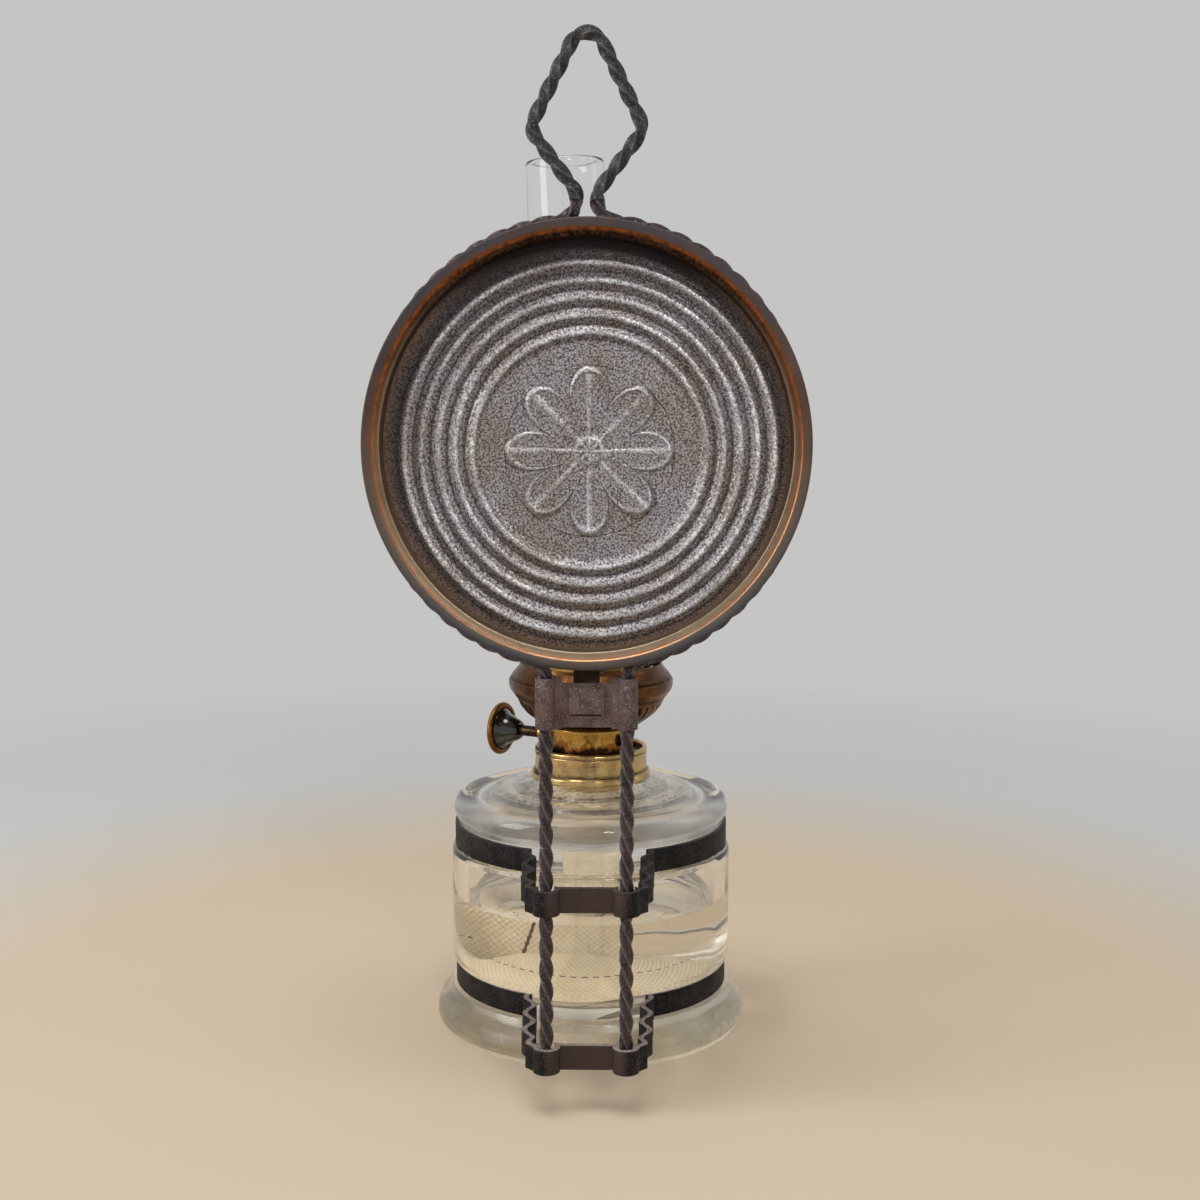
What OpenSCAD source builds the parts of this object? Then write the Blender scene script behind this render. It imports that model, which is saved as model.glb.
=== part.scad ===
// Wall oil lamp: a pressed glass font in a frame of twisted square iron,
// with a round reflector, a flat wick burner and a glass chimney.
// Origin: centre of the underside of the glass foot. +Z up, +Y towards the wall.

/* [Font] */
// Radius of the glass body
font_r = 51.3; // [49:0.1:56]
// Radius of the flared foot
foot_r = 56.9; // [55:0.1:62]
// Height of the foot's widest band
foot_band_h = 7; // [5:0.1:9]
// Depth of the two strap grooves
groove_depth = 3.1; // [2.4:0.1:3.4]
// Height from the table to the lower strap
lower_strap_z = 15.1; // [14:0.1:18]
// Height of glass body between the two straps
body_h = 43.6; // [36:0.1:60]
// Height from the upper strap to the collar's seat
shoulder_h = 16; // [15:0.1:20]
// Radius of the rounded bead round the shoulder
bead_r = 50.5; // [49:0.1:52]
// Thickness of the glass floor
floor_t = 16.5; // [14:0.1:19]
// Thickness of glass behind a groove
glass_wall = 2.8; // [2.2:0.1:3.2]
// Outer radius of the glass neck
neck_r = 19; // [18.9:0.05:19.2]
// Height of the glass neck over its seat
neck_h = 7.6; // [6.5:0.1:7.8]
// Thickness of the glass neck
neck_wall = 1.9; // [1.5:0.1:2]
// Height of the oil over the glass floor
oil_depth = 32; // [26:0.5:40]
// Radius of the rounded corner between the font's wall and its floor, inside
bowl_r = 9; // [5:0.5:16]

/* [Straps] */
// Width of a strap
strap_w = 8; // [6:0.1:9]
// Thickness of a strap
strap_t = 1.8; // [1.4:0.1:2]
// Half distance between a strap's arms at the font
arm_x_font = 20.4; // [19:0.1:22]
// Half distance between a strap's arms at the rods
arm_x_rod = 18.7; // [18.4:0.1:20]
// Height of the waves crimped in an arm
crimp_h = 1.5; // [0.5:0.1:2]
// Number of waves crimped in an arm
crimps = 3; // [2:1:4]
// How far a clip's web lies in front of the rods' middle
web_back = 0.8; // [0.4:0.1:1.4]
// How far past the font's middle a strap reaches on the room side, in degrees
strap_reach = 36; // [20:1:50]

/* [Twisted frame] */
// Side of the square iron
iron_side = 3.4; // [2.8:0.1:3.6]
// Length of one full twist
twist_pitch = 29; // [24:0.5:40]
// Half distance between the two rods
rod_x = 12.7; // [12:0.1:14]
// Distance of the rods from the font's axis
rod_y = 91.5; // [86:0.5:100]
// How much taller than wide the ring is, on each side
ring_oval = 1.7; // [0:0.1:2.5]
// Angle from the bottom at which a rod joins the ring
join_angle = 15; // [14:0.5:18]
// Angle from the top at which an iron leaves the ring
leave_angle = 7.5; // [6:0.5:9]
// Half distance between the loop's legs at the neck
neck_gap_x = 3.1; // [3:0.1:4]
// Half width of the loop at its corners
loop_x = 17.2; // [14:0.1:20]
// Height from the ring's centre to the loop's corners
loop_corner_h = 94.6; // [90:0.1:100]
// Height from the loop's corners to the point where its sides would meet
loop_tip_h = 34.1; // [28:0.1:40]
// Bend radius at the loop's corners and tip
loop_bend = 5.2; // [4:0.1:6]

/* [Head plate] */
// Height of the head plate
head_h = 16; // [12:0.1:20]
// Thickness of the head plate
head_t = 0.8; // [0.6:0.1:1]
// Half width of the pocket
pocket_x = 5.4; // [3:0.1:6]
// Height of the pocket
pocket_h = 8.6; // [6:0.1:9]
// How far the pocket stands out at its open end
pocket_out = 1.3; // [0.9:0.1:1.6]

/* [Reflector] */
// Height of the reflector's centre over the table
reflector_z = 213.5; // [208:0.5:225]
// Radius of the reflector over its rear lip
lip_r = 68.6; // [64:0.1:75]
// Width of the folded edge on the rear lip
hem_w = 3; // [2:0.1:4]
// Thickness of the rim's brass sheet
rim_t = 0.8; // [0.6:0.1:1]
// Depth of the rim from the lip to the back plate
rim_depth = 8; // [7.6:0.1:10]
// Depth of the front bezel in front of the back plate
bezel_depth = 9.5; // [9:0.1:12]
// Width of the bezel's front face
bezel_face_w = 3.4; // [2.6:0.1:5]
// Depth of the hollow in the mirror
mirror_hollow = 4.2; // [3:0.1:5]
// Thickness of the mirror glass
mirror_t = 2; // [1.6:0.1:2.4]
// Inner radius of the card ring behind the mirror
packing_r = 52; // [45:0.5:58]
// Thickness of the back plate
plate_t = 0.6; // [0.5:0.05:0.8]
// Number of raised rings on the back plate
plate_rings = 5; // [3:1:5]
// Distance between raised rings
ring_pitch = 5.25; // [4.6:0.05:5.3]
// Height of the raised rings
ring_rise = 1.1; // [0.6:0.1:1.4]
// Distance from the plate's edge to the outermost raised ring
ring_margin = 6.4; // [6:0.1:9]
// Radius of the rosette in the middle of the back plate
rosette_r = 26; // [18:0.5:30]
// Number of petals of the rosette
rosette_petals = 8; // [6:1:12]

/* [Collar] */
// Outer radius of the collar
collar_r = 20.8; // [20.7:0.05:21.4]
// Height of the collar over its seat
collar_h = 11.5; // [10.8:0.1:13]
// Radius of the collar's foot flange
collar_flange_r = 22.1; // [21.6:0.1:24]
// Height of the collar's foot flange
collar_flange_h = 3.5; // [2:0.1:4.5]
// Thickness of the collar's sheet
collar_t = 0.8; // [0.6:0.1:0.9]
// Depth of the burner's seat below the collar's rim
seat_depth = 3; // [2.4:0.1:3.1]
// Radius of the hole that takes the burner
socket_r = 15.9; // [15.6:0.05:16]

/* [Burner] */
// Angle of the wick and its spindle about the lamp's axis
burner_turn = -27; // [-60:1:60]
// Height of the burner's throat over its seat
throat_h = 10.6; // [10.4:0.1:13]
// Height of the wick spindle over the burner's seat
spindle_h = 6.7; // [6.4:0.1:7]
// Depth of the burner's skirt below its seat
skirt_h = 13; // [11:0.5:15]
// Thickness of the burner's sheet
sheet_t = 0.7; // [0.6:0.05:0.8]
// Height of the slotted basket
basket_h = 10.8; // [9.5:0.1:13]
// Radius of the basket's top
basket_r = 27.3; // [26.8:0.1:28.4]
// Number of slots in the basket
basket_slots = 44; // [30:1:52]
// Width of a basket slot
slot_w = 0.9; // [0.6:0.1:1.2]
// Radius of the gallery at its widest
gallery_r = 30.2; // [29.4:0.1:32]
// Height of the gallery
gallery_h = 12.6; // [12:0.1:14]
// Number of chimney springs
springs = 4; // [4:1:6]
// Height of a chimney spring over the chimney's seat
spring_h = 15; // [10:0.5:18]
// Radius of the flame cone at its foot
cone_r = 19.6; // [18.6:0.1:20]
// Height of the flame cone over the chimney's seat
cone_h = 15; // [12:0.5:18]

/* [Wick] */
// Width of the wick
wick_w = 24; // [20:0.5:24]
// Thickness of the wick
wick_t = 2.4; // [2:0.1:2.6]
// Radius of the spindle
spindle_r = 2; // [1.8:0.05:2.1]
// Tip radius of the toothed wheels
wheel_r = 3.5; // [3.2:0.1:3.7]
// Number of teeth on a wheel
wheel_teeth = 10; // [8:1:14]
// Distance of the knob's disc from the burner's axis
knob_u = 35.2; // [34:0.1:42]
// Radius of the knob's disc
knob_r = 9.8; // [8:0.1:12]

// Distance of the wick's loose end from the glass wall
tail_from_wall = 7; // [6:0.5:9]
// Angle at which the loose end's curl stops
curl_end = 160; // [130:1:165]
// Slope of the curl where its inner edge is raised most
curl_tilt = 34; // [20:1:40]
// How far the curl's ends float up from the floor
curl_lift = 3; // [0:0.5:6]
// Radius of the bend where the loose wick starts its curl
curl_bend = 12; // [8:0.5:14]

/* [Chimney] */
// Radius of the chimney's foot
chimney_r = 23.4; // [22.9:0.1:23.6]
// Radius of the chimney's belly
belly_r = 27.6; // [25:0.1:30]
// Radius of the chimney's top
chimney_top_r = 13.9; // [12:0.1:16]
// Height of the chimney
chimney_h = 182; // [150:1:210]
// Thickness of the chimney glass
chimney_t = 1.6; // [1.2:0.1:1.8]
// How far the chimney leans in its springs, in degrees
chimney_lean = 3; // [0:0.5:3.5]

/* [Hidden] */
$fn = 96;

// Clearances between pieces
fit = 0.1;        // pieces that are fixed to each other
run_fit = 0.05;   // shaft in its bearing, radial
free = 0.3;       // pieces that pass each other
eps = 0.01;

// Glass font
groove_r = font_r - groove_depth;
strap_r = groove_r + fit;
upper_strap_z = lower_strap_z + strap_w + body_h;
seat_z = upper_strap_z + strap_w + shoulder_h;
font_in_r = groove_r - glass_wall;
neck_in_r = neck_r - neck_wall;
groove_gap = 0.3;
bead_half = 4.7;
bead_z = upper_strap_z + strap_w + groove_gap + bead_half + 0.6;
step_r = bead_r - 14;
dish_z = seat_z - 5.6;

// Twisted frame
iron_half = iron_side / sqrt(2);
iron_step = 2.6;
hook_in = iron_half + 0.12;
bump_r = hook_in + strap_t;
web_y = rod_y - web_back;
shoulder_y = rod_y - iron_half - 1.2;
arm_y0 = sqrt(pow(strap_r + strap_t / 2, 2) - pow(arm_x_font, 2)) - 1;
rod_foot_z = lower_strap_z + 0.9;

// Reflector
wall_r = lip_r - 5;
wall_in_r = wall_r - rim_t;
ring_a = wall_r + iron_half + 0.3;
ring_b = ring_a + ring_oval;
lip_y = rod_y + iron_half + 0.2;
plate_y = lip_y + rim_t - rim_depth;
bezel_y = plate_y - bezel_depth;
mirror_y = bezel_y + rim_t + fit;
bezel_flange_y = rod_y - iron_half - 0.2;
plate_r = wall_r - fit;
outer_ring_r = plate_r - ring_margin;
pattern_x = -0.8;
pattern_z = -1.4;

// Where the irons leave the ring at the bottom and at the top
join_rise = atan(ring_b * sin(join_angle) / (ring_a * cos(join_angle)));
join_turn = 90 - join_rise;
join_bend = (ring_a * sin(join_angle) - rod_x) / (1 - cos(join_turn));
bend_z = reflector_z - ring_b * cos(join_angle) - join_bend * sin(join_turn);
top_rise = atan(ring_b * sin(leave_angle) / (ring_a * cos(leave_angle)));
top_turn = 90 - top_rise;
top_bend = (ring_a * sin(leave_angle) - neck_gap_x) / (1 - cos(top_turn));
top_z = reflector_z + ring_b * cos(leave_angle) + top_bend * sin(top_turn);
neck_z = top_z;
loop_corner_z = reflector_z + loop_corner_h;
loop_tip_z = loop_corner_z + loop_tip_h;
leg_slope = 0.76;
leg_z = loop_corner_z - (loop_x - neck_gap_x) / leg_slope;

// Head plate
tunnel_in = iron_half + 0.1;
tunnel_r = tunnel_in + head_t;
head_top = bend_z + 0.2;
head_z = head_top - head_h;
panel_y = rod_y - 0.3;
panel_x = rod_x - tunnel_r - 1.6;
panel_drop = 1.6;
pocket_top = head_top - panel_drop - 0.9;
tongue_x = pocket_x - head_t - 0.5;

// Collar and burner, upwards from the burner's seat
burner_z = seat_z + collar_h - seat_depth;
throat_r = socket_r - 0.2;
throat_in_r = throat_r - sheet_t;
throat_top = burner_z + throat_h;
basket_top = throat_top + basket_h;
gallery_top = basket_top + gallery_h;
chimney_z = basket_top + 8.9;
ledge_in_r = cone_r + 1.4;
spring_r = chimney_r + 1.1;
spindle_z = burner_z + spindle_h;
tube_gap = 0.8;
tube_in_x = wick_w / 2 + tube_gap;
tube_in_y = wick_t / 2 + tube_gap;
tube_t = 0.6;
spindle_v = wick_t / 2 + 0.4 + wheel_r;
tube_foot_z = burner_z - 8;
tube_top_z = chimney_z + cone_h - 4;
wick_foot_z = burner_z - skirt_h + 0.8;
wick_top_z = tube_top_z + 0.5;
diaphragm_z = burner_z + 1.6;
wheel_u = wick_w / 4;
wheel_w = 1.6;
bush_r = spindle_r + run_fit + 0.9;
bush_end_u = throat_r + 2.6;
spindle_end_u = -throat_r - 0.5;

// Wick in the font
tail_top_z = wick_foot_z - free;
tail_foot_z = floor_t + free;
curl_r = font_in_r - tail_from_wall;
curl_low_r = font_in_r - 3.5 - wick_w / 2;
fold_t = 0.3;

function unit(v) = v / norm(v);

// Points along an arc, in n equal steps
function arc_points(c, r, a0, a1, n) =
  [for (i = [0:n]) c + r * [cos(a0 + (a1 - a0) * i / n), sin(a0 + (a1 - a0) * i / n)]];

// A rounded corner at b between the directions to a and c
function bend_points(a, b, c, r) =
  let (to_a = unit(a - b), to_c = unit(c - b), angle = acos(to_a * to_c),
       centre = b + unit(to_a + to_c) * r / sin(angle / 2),
       first = b + to_a * r / tan(angle / 2) - centre,
       start = atan2(first.y, first.x),
       side = cross(b - a, c - b) > 0 ? 1 : -1,
       n = max(3, ceil(r * (180 - angle) * PI / 180 / (iron_step * 0.7))))
  arc_points(centre, r, start, start + side * (180 - angle), n);

// The same path with no stretch longer than the step
function refined(path) =
  [for (i = [0:len(path) - 2])
     let (n = max(1, round(norm(path[i + 1] - path[i]) / iron_step)))
     for (k = [0:n - 1]) path[i] + (path[i + 1] - path[i]) * k / n,
   path[len(path) - 1]];

// Distance along a path at each of its points
function run_lengths(path) =
  [for (i = 0, s = 0; i < len(path);
        s = s + (i < len(path) - 1 ? norm(path[i + 1] - path[i]) : 0), i = i + 1) s];

// A rod and its half of the ring, from the foot up to the neck of the loop
side_path = refined(concat(
  [[rod_x, rod_foot_z]],
  arc_points([rod_x + join_bend, bend_z], join_bend, 180, 180 - join_turn, 5),
  [for (i = [1:71]) let (a = join_angle + (180 - leave_angle - join_angle) * i / 72)
     [ring_a * sin(a), reflector_z - ring_b * cos(a)]],
  arc_points([neck_gap_x + top_bend, top_z], top_bend, 180 + top_turn, 180, 5),
  [[neck_gap_x, neck_z]]));

// The hanging loop, from the left neck over the tip to the right neck
loop_left = [neck_gap_x, leg_z];
loop_corner = [loop_x, loop_corner_z];
loop_tip = [0, loop_tip_z];
loop_path = refined(concat(
  [[neck_gap_x, neck_z]],
  bend_points([neck_gap_x, neck_z], loop_left, loop_corner, 4),
  bend_points(loop_left, loop_corner, loop_tip, loop_bend),
  bend_points(loop_corner, loop_tip, [-loop_x, loop_corner_z], loop_bend),
  bend_points(loop_tip, [-loop_x, loop_corner_z], [-neck_gap_x, leg_z], loop_bend),
  bend_points([-loop_x, loop_corner_z], [-neck_gap_x, leg_z], [-neck_gap_x, neck_z], 4),
  [[-neck_gap_x, neck_z]]));

function last(list) = list[len(list) - 1];
side_turn = -360 * last(run_lengths(side_path)) / twist_pitch;
loop_turn = -360 * last(run_lengths(loop_path)) / twist_pitch;

// Direction of a path at one of its points
function heading(path, i) = unit(path[min(i + 1, len(path) - 1)] - path[max(i - 1, 0)]);

// A bar or tape with four corners at each of its stations
module four_sided(points) {
  e = len(points) - 4;
  sides = [for (i = [0:4:e - 4]) for (k = [0:3])
    let (a = i + k, b = i + (k + 1) % 4, c = b + 4, d = a + 4)
    each [[a, c, b], [a, d, c]]];
  ends = [[0, 1, 2], [0, 2, 3], [e, e + 2, e + 1], [e, e + 3, e + 2]];
  polyhedron(points, concat(sides, ends), convexity = 8);
}

// A square bar that twists as it follows a path in the plane of the rods
module twisted_iron(path, start_turn) {
  runs = run_lengths(path);
  four_sided([for (i = [0:len(path) - 1]) let (t = heading(path, i))
    for (k = [0:3]) let (a = start_turn - 360 * runs[i] / twist_pitch + 45 + 90 * k)
      [path[i].x + iron_half * cos(a) * t.y,
       rod_y + iron_half * sin(a),
       path[i].y - iron_half * cos(a) * t.x]]);
}

function mirrored(path) = [for (p = path) [-p.x, p.y]];

module left_iron() {
  color([0.19, 0.16, 0.15]) twisted_iron(side_path, 0);
}

module right_iron() {
  color([0.19, 0.16, 0.15])
    twisted_iron(mirrored(side_path), -(side_turn + loop_turn) - side_turn);
}

module hanging_loop() {
  color([0.2, 0.19, 0.19]) twisted_iron(loop_path, side_turn);
}

// Outline of the glass from the centre of the foot to the top of the neck
glass_outline = concat(
  [[0, 0], [foot_r - 2.2, 0]],
  arc_points([foot_r - 2.2, 2.2], 2.2, -70, 0, 4),
  [[foot_r, foot_band_h * 0.6]],
  [for (i = [0:6]) let (f = i / 6)
     [foot_r - 0.2 - (foot_r - font_r - 0.6) * (0.5 - 0.5 * cos(180 * f)),
      foot_band_h + (lower_strap_z - groove_gap - foot_band_h) * f]],
  [[groove_r, lower_strap_z - groove_gap],
   [groove_r, lower_strap_z + strap_w + groove_gap],
   [font_r - 0.6, lower_strap_z + strap_w + groove_gap + 0.2],
   [font_r, lower_strap_z + strap_w + groove_gap + 1.6],
   [font_r, upper_strap_z - groove_gap - 1.6],
   [font_r - 0.6, upper_strap_z - groove_gap - 0.2],
   [groove_r, upper_strap_z - groove_gap],
   [groove_r, upper_strap_z + strap_w + groove_gap],
   [bead_r - 1.4, upper_strap_z + strap_w + groove_gap + 0.2]],
  arc_points([bead_r - bead_half, bead_z], bead_half, -38, 88, 9),
  [[bead_r - 8, dish_z - 0.5],
   [step_r + 0.4, dish_z - 0.4],
   [step_r, dish_z + 1.2],
   [step_r - 1, dish_z + 1.7],
   [step_r - 8, dish_z + 2.2],
   [step_r - 8.8, dish_z + 3.6],
   [collar_flange_r + 1.4, seat_z - 0.5],
   [collar_flange_r + 0.4, seat_z - fit],
   [neck_r, seat_z - fit],
   [neck_r, seat_z + neck_h],
   [neck_in_r, seat_z + neck_h]]);

// Outline of the hollow, from the neck down to the floor
hollow_outline = concat(
  [[0, seat_z + neck_h + 1], [neck_in_r, seat_z + neck_h + 1],
   [neck_in_r, dish_z + 0.2],
   [neck_in_r + 5, dish_z - 2.2],
   [step_r - 3, dish_z - 4.4]],
  arc_points([font_in_r - 9, dish_z - 15], 9, 62, 0, 6),
  arc_points([font_in_r - bowl_r, floor_t + bowl_r], bowl_r, 0, -90, 9),
  [[0, floor_t]]);

module font_glass() {
  color([0.82, 0.86, 0.80, 0.45]) difference() {
    rotate_extrude($fn = 144) polygon(concat(glass_outline, [[0, seat_z + neck_h]]));
    rotate_extrude($fn = 144) polygon(hollow_outline);
  }
}

module font_oil() {
  oil_r = font_in_r - fit;
  color([0.86, 0.76, 0.42, 0.6]) difference() {
    rotate_extrude($fn = 144) polygon(concat(
      [[0, floor_t + fit]],
      arc_points([font_in_r - bowl_r, floor_t + bowl_r], bowl_r - fit, -90, 0, 9),
      [[oil_r, floor_t + oil_depth], [0, floor_t + oil_depth]]));
    wick_tail_shape(free);
  }
}

// Brass collar: an outer tube with a rolled rim, a sunk seat and a sleeve for the burner
module font_collar() {
  rim_r = 0.9;
  color([0.62, 0.48, 0.24]) rotate_extrude() {
    difference() {
      union() {
        translate([collar_r - collar_t, seat_z]) square([collar_t, collar_h - rim_r]);
        translate([collar_r - rim_r, seat_z + collar_h - rim_r]) circle(rim_r, $fn = 24);
        translate([socket_r, burner_z - collar_t])
          square([collar_r - socket_r - rim_r / 2, collar_t]);
        translate([socket_r, seat_z - 6.5]) square([collar_t, burner_z - seat_z + 6.5]);
        polygon([[collar_r - 0.3, seat_z], [collar_flange_r - 0.5, seat_z],
          [collar_flange_r, seat_z + 0.6], [collar_flange_r - 0.2, seat_z + collar_flange_h - 1],
          [collar_flange_r - 0.7, seat_z + collar_flange_h - 0.3],
          [collar_r - 0.3, seat_z + collar_flange_h]]);
      }
    }
  }
}

// Plaster that holds the collar on the glass neck
module collar_plaster() {
  plaster_in = neck_r + 0.05;
  color([0.85, 0.82, 0.76]) rotate_extrude()
    translate([plaster_in, seat_z + 0.2])
      square([collar_r - collar_t - 0.05 - plaster_in, neck_h - 0.6]);
}

// Waves of an arm: sideways place at a share f of its length
function crimp(f) = crimp_h * sin(360 * crimps * f) * (f > 0.92 || f < 0.04 ? 0.3 : 1);

module strap_arm() {
  n = 8 * crimps;
  arm_l = shoulder_y - arm_y0;
  outer = [for (i = [0:n]) let (f = i / n)
    [arm_x_font + (arm_x_rod - arm_x_font) * f + crimp(f) + strap_t / 2, arm_y0 + arm_l * f]];
  inner = [for (i = [n:-1:0]) let (f = i / n)
    [arm_x_font + (arm_x_rod - arm_x_font) * f + crimp(f) - strap_t / 2, arm_y0 + arm_l * f]];
  polygon(concat(outer, inner));
}

// The part of a clip that hooks round one rod
module rod_hook() {
  difference() {
    union() {
      translate([rod_x, rod_y]) circle(bump_r, $fn = 48);
      translate([rod_x - bump_r - 0.7, web_y - strap_t])
        square([2 * bump_r, strap_t]);
      polygon([[arm_x_rod - strap_t / 2, shoulder_y - 1], [arm_x_rod + strap_t / 2, shoulder_y - 1],
        [arm_x_rod + strap_t / 2, shoulder_y + 1.2], [arm_x_rod, shoulder_y + 2],
        [rod_x + bump_r, rod_y + 0.2], [rod_x + hook_in, rod_y],
        [rod_x + hook_in, rod_y - iron_half * 0.6],
        [arm_x_rod - strap_t / 2, shoulder_y + 0.2]]);
    }
    translate([rod_x, rod_y]) circle(hook_in, $fn = 48);
    translate([rod_x - hook_in, rod_y - 12]) square([2 * hook_in, 12]);
  }
}

module strap_outline() {
  mid_r = strap_r + strap_t / 2;
  far = 3 * strap_r;
  difference() {
    circle(strap_r + strap_t, $fn = 144);
    circle(strap_r, $fn = 144);
    polygon([[0, 0], [2 * arm_x_font, 2 * arm_y0 + 2], [-2 * arm_x_font, 2 * arm_y0 + 2]]);
    polygon([[0, 0], far * [cos(strap_reach), -sin(strap_reach)], [0, -far],
      far * [-cos(strap_reach), -sin(strap_reach)]]);
  }
  for (side = [0, 1]) mirror([side, 0]) {
    translate(mid_r * [cos(strap_reach), -sin(strap_reach)]) circle(strap_t / 2, $fn = 24);
    difference() {
      strap_arm();
      circle(strap_r, $fn = 144);
    }
    rod_hook();
    translate([0, web_y - strap_t]) square([rod_x - hook_in - strap_t + 0.6, strap_t]);
  }
}

// Spring strap that clasps the font from behind and holds both rods
module strap(z) {
  color([0.13, 0.12, 0.12]) translate([0, 0, z]) linear_extrude(strap_w) strap_outline();
}

module lower_strap() { strap(lower_strap_z); }
module upper_strap() { strap(upper_strap_z); }

// Solder that closes the foot of each rod in the lower clip
module rod_solder() {
  color([0.45, 0.44, 0.43]) for (side = [-1, 1])
    translate([side * rod_x, rod_y, lower_strap_z])
      cylinder(r = hook_in - run_fit, h = rod_foot_z - lower_strap_z - eps, $fn = 48);
}

module head_section() {
  for (side = [0, 1]) mirror([side, 0]) {
    difference() {
      translate([rod_x, rod_y]) circle(tunnel_r, $fn = 48);
      translate([rod_x, rod_y]) circle(tunnel_in, $fn = 48);
      translate([rod_x - 10, rod_y - 12.4]) square([20, 12]);
    }
    polygon([[rod_x - tunnel_r, rod_y - 0.4], [rod_x - tunnel_in, rod_y - 0.4],
      [rod_x - tunnel_in, rod_y + 0.4], [rod_x - tunnel_r + 0.1, rod_y + 1.1],
      [panel_x, panel_y + head_t], [panel_x, panel_y]]);
    translate([0, panel_y]) square([panel_x + eps, head_t]);
  }
}

pocket_z = pocket_top - pocket_h;

module head_plate() {
  color([0.28, 0.23, 0.22]) difference() {
    union() {
      difference() {
        translate([0, 0, head_z]) linear_extrude(head_h) head_section();
        translate([-panel_x, panel_y - 1, head_z - 1]) cube([2 * panel_x, 3, 1.5]);
        translate([-panel_x, panel_y - 1, head_top - panel_drop])
          cube([2 * panel_x, 3, panel_drop + 1]);
      }
      pocket_wedge(pocket_x, pocket_top, pocket_z, panel_y, panel_y + head_t);
    }
    pocket_wedge(pocket_x - head_t, pocket_top - head_t, pocket_z - 1, panel_y - 1, panel_y);
  }
}

// A wedge between a back and a face that stands out most at its lower end
module pocket_wedge(half_w, top, foot, back, face) {
  translate([-half_w, 0, 0]) rotate([90, 0, 90]) linear_extrude(2 * half_w)
    polygon([[back, top], [face + 0.1, top], [face + pocket_out * 0.75, top - 1.8],
      [face + pocket_out, foot], [back, foot]]);
}

// Tongue on the bezel's flange that hangs in the pocket
module reflector_tongue() {
  tongue_t = 0.7;
  top = reflector_z - wall_r - 1.4;
  bend = head_top - panel_drop + 0.8;
  hook = pocket_top - head_t - 2.2;
  foot = pocket_z + 0.8;
  y_top = bezel_flange_y + eps;
  y_hook = panel_y + 0.1;
  y_foot = panel_y + 0.3;
  color([0.6, 0.46, 0.24]) translate([-tongue_x, 0, 0]) rotate([90, 0, 90])
    linear_extrude(2 * tongue_x)
      polygon([[y_top, top], [y_top, bend], [y_hook, hook], [y_foot, foot],
        [y_foot + tongue_t, foot], [y_hook + tongue_t, hook], [y_top + tongue_t, bend],
        [y_top + tongue_t, top]]);
}

// Turns a section drawn as (radius, distance towards the wall) round the reflector's axis
module round_reflector() {
  translate([0, 0, reflector_z]) rotate([-90, 0, 0]) rotate_extrude($fn = 144) children();
}

module reflector_rim() {
  flange_y = lip_y + rim_t;
  color([0.46, 0.33, 0.18]) round_reflector() polygon(concat(
    [[wall_in_r, plate_y + eps], [wall_r, plate_y + eps], [wall_r, lip_y],
     [lip_r - 0.5, lip_y]],
    arc_points([lip_r - 0.7, lip_y + 0.7], 0.7, -70, 90, 5),
    [[lip_r - hem_w, lip_y + 1.4], [lip_r - hem_w - 0.3, flange_y + 0.25],
     [wall_r + 0.5, flange_y], [wall_in_r + 0.2, flange_y - 0.3],
     [wall_in_r, flange_y - 1]]));
}

// Height of the pressed rings at a distance from the pattern's centre
ring_from = outer_ring_r - (plate_rings - 0.5) * ring_pitch;
ring_to = outer_ring_r + ring_pitch / 2;
function ring_height(r) = ring_rise * (0.5 + 0.5 * cos(360 * (r - outer_ring_r) / ring_pitch));

module back_plate() {
  n = plate_rings * 8;
  radii = [for (i = [0:n]) ring_from + (ring_to - ring_from) * i / n];
  lap = 0.05;
  color([0.42, 0.40, 0.39]) {
    difference() {
      round_reflector() translate([0, plate_y - plate_t]) square([plate_r, plate_t]);
      translate([pattern_x, 0, pattern_z]) round_reflector()
        translate([0, plate_y - plate_t - 1]) square([ring_to - lap, plate_t + 2]);
    }
    translate([pattern_x, 0, pattern_z]) round_reflector() polygon(concat(
      [[0, plate_y - plate_t]],
      [for (r = radii) [r, plate_y - plate_t + ring_height(r)]],
      [[ring_to, plate_y]],
      [for (i = [n - 1:-1:0]) [radii[i], plate_y + ring_height(radii[i])]],
      [[0, plate_y]]));
    translate([pattern_x, plate_y - eps, reflector_z + pattern_z]) rotate([-90, 0, 0])
      linear_extrude(0.8) rosette();
  }
}

// Outline of a flower with round petals
module rosette() {
  points = 12 * rosette_petals;
  polygon([for (i = [0:points - 1])
    let (a = 360 * i / points, r = rosette_r * (0.4 + 0.6 * sqrt(abs(cos(a * rosette_petals / 2)))))
    [r * cos(a), r * sin(a)]]);
}

module mirror_glass() {
  glass_r = wall_r - fit;
  ball_r = (glass_r * glass_r + mirror_hollow * mirror_hollow) / (2 * mirror_hollow);
  color([0.8, 0.82, 0.84]) translate([0, mirror_y, reflector_z]) rotate([-90, 0, 0])
    difference() {
      intersection() {
        cylinder(r = glass_r, h = mirror_hollow + mirror_t + 1, $fn = 144);
        translate([0, 0, mirror_hollow + mirror_t - ball_r]) sphere(ball_r, $fn = 256);
      }
      translate([0, 0, mirror_hollow - ball_r]) sphere(ball_r, $fn = 256);
    }
}

// Card ring that presses the mirror's edge against the bezel
module mirror_packing() {
  packing_out = wall_r - 2 * fit;
  front = mirror_y + mirror_t + mirror_hollow * (1 - pow(packing_r / wall_r, 2)) + fit;
  color([0.55, 0.47, 0.36]) round_reflector() polygon([
    [packing_r, front], [packing_out, mirror_y + mirror_t + 2 * fit],
    [packing_out, plate_y - plate_t - eps], [packing_r, plate_y - plate_t - eps]]);
}

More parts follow.
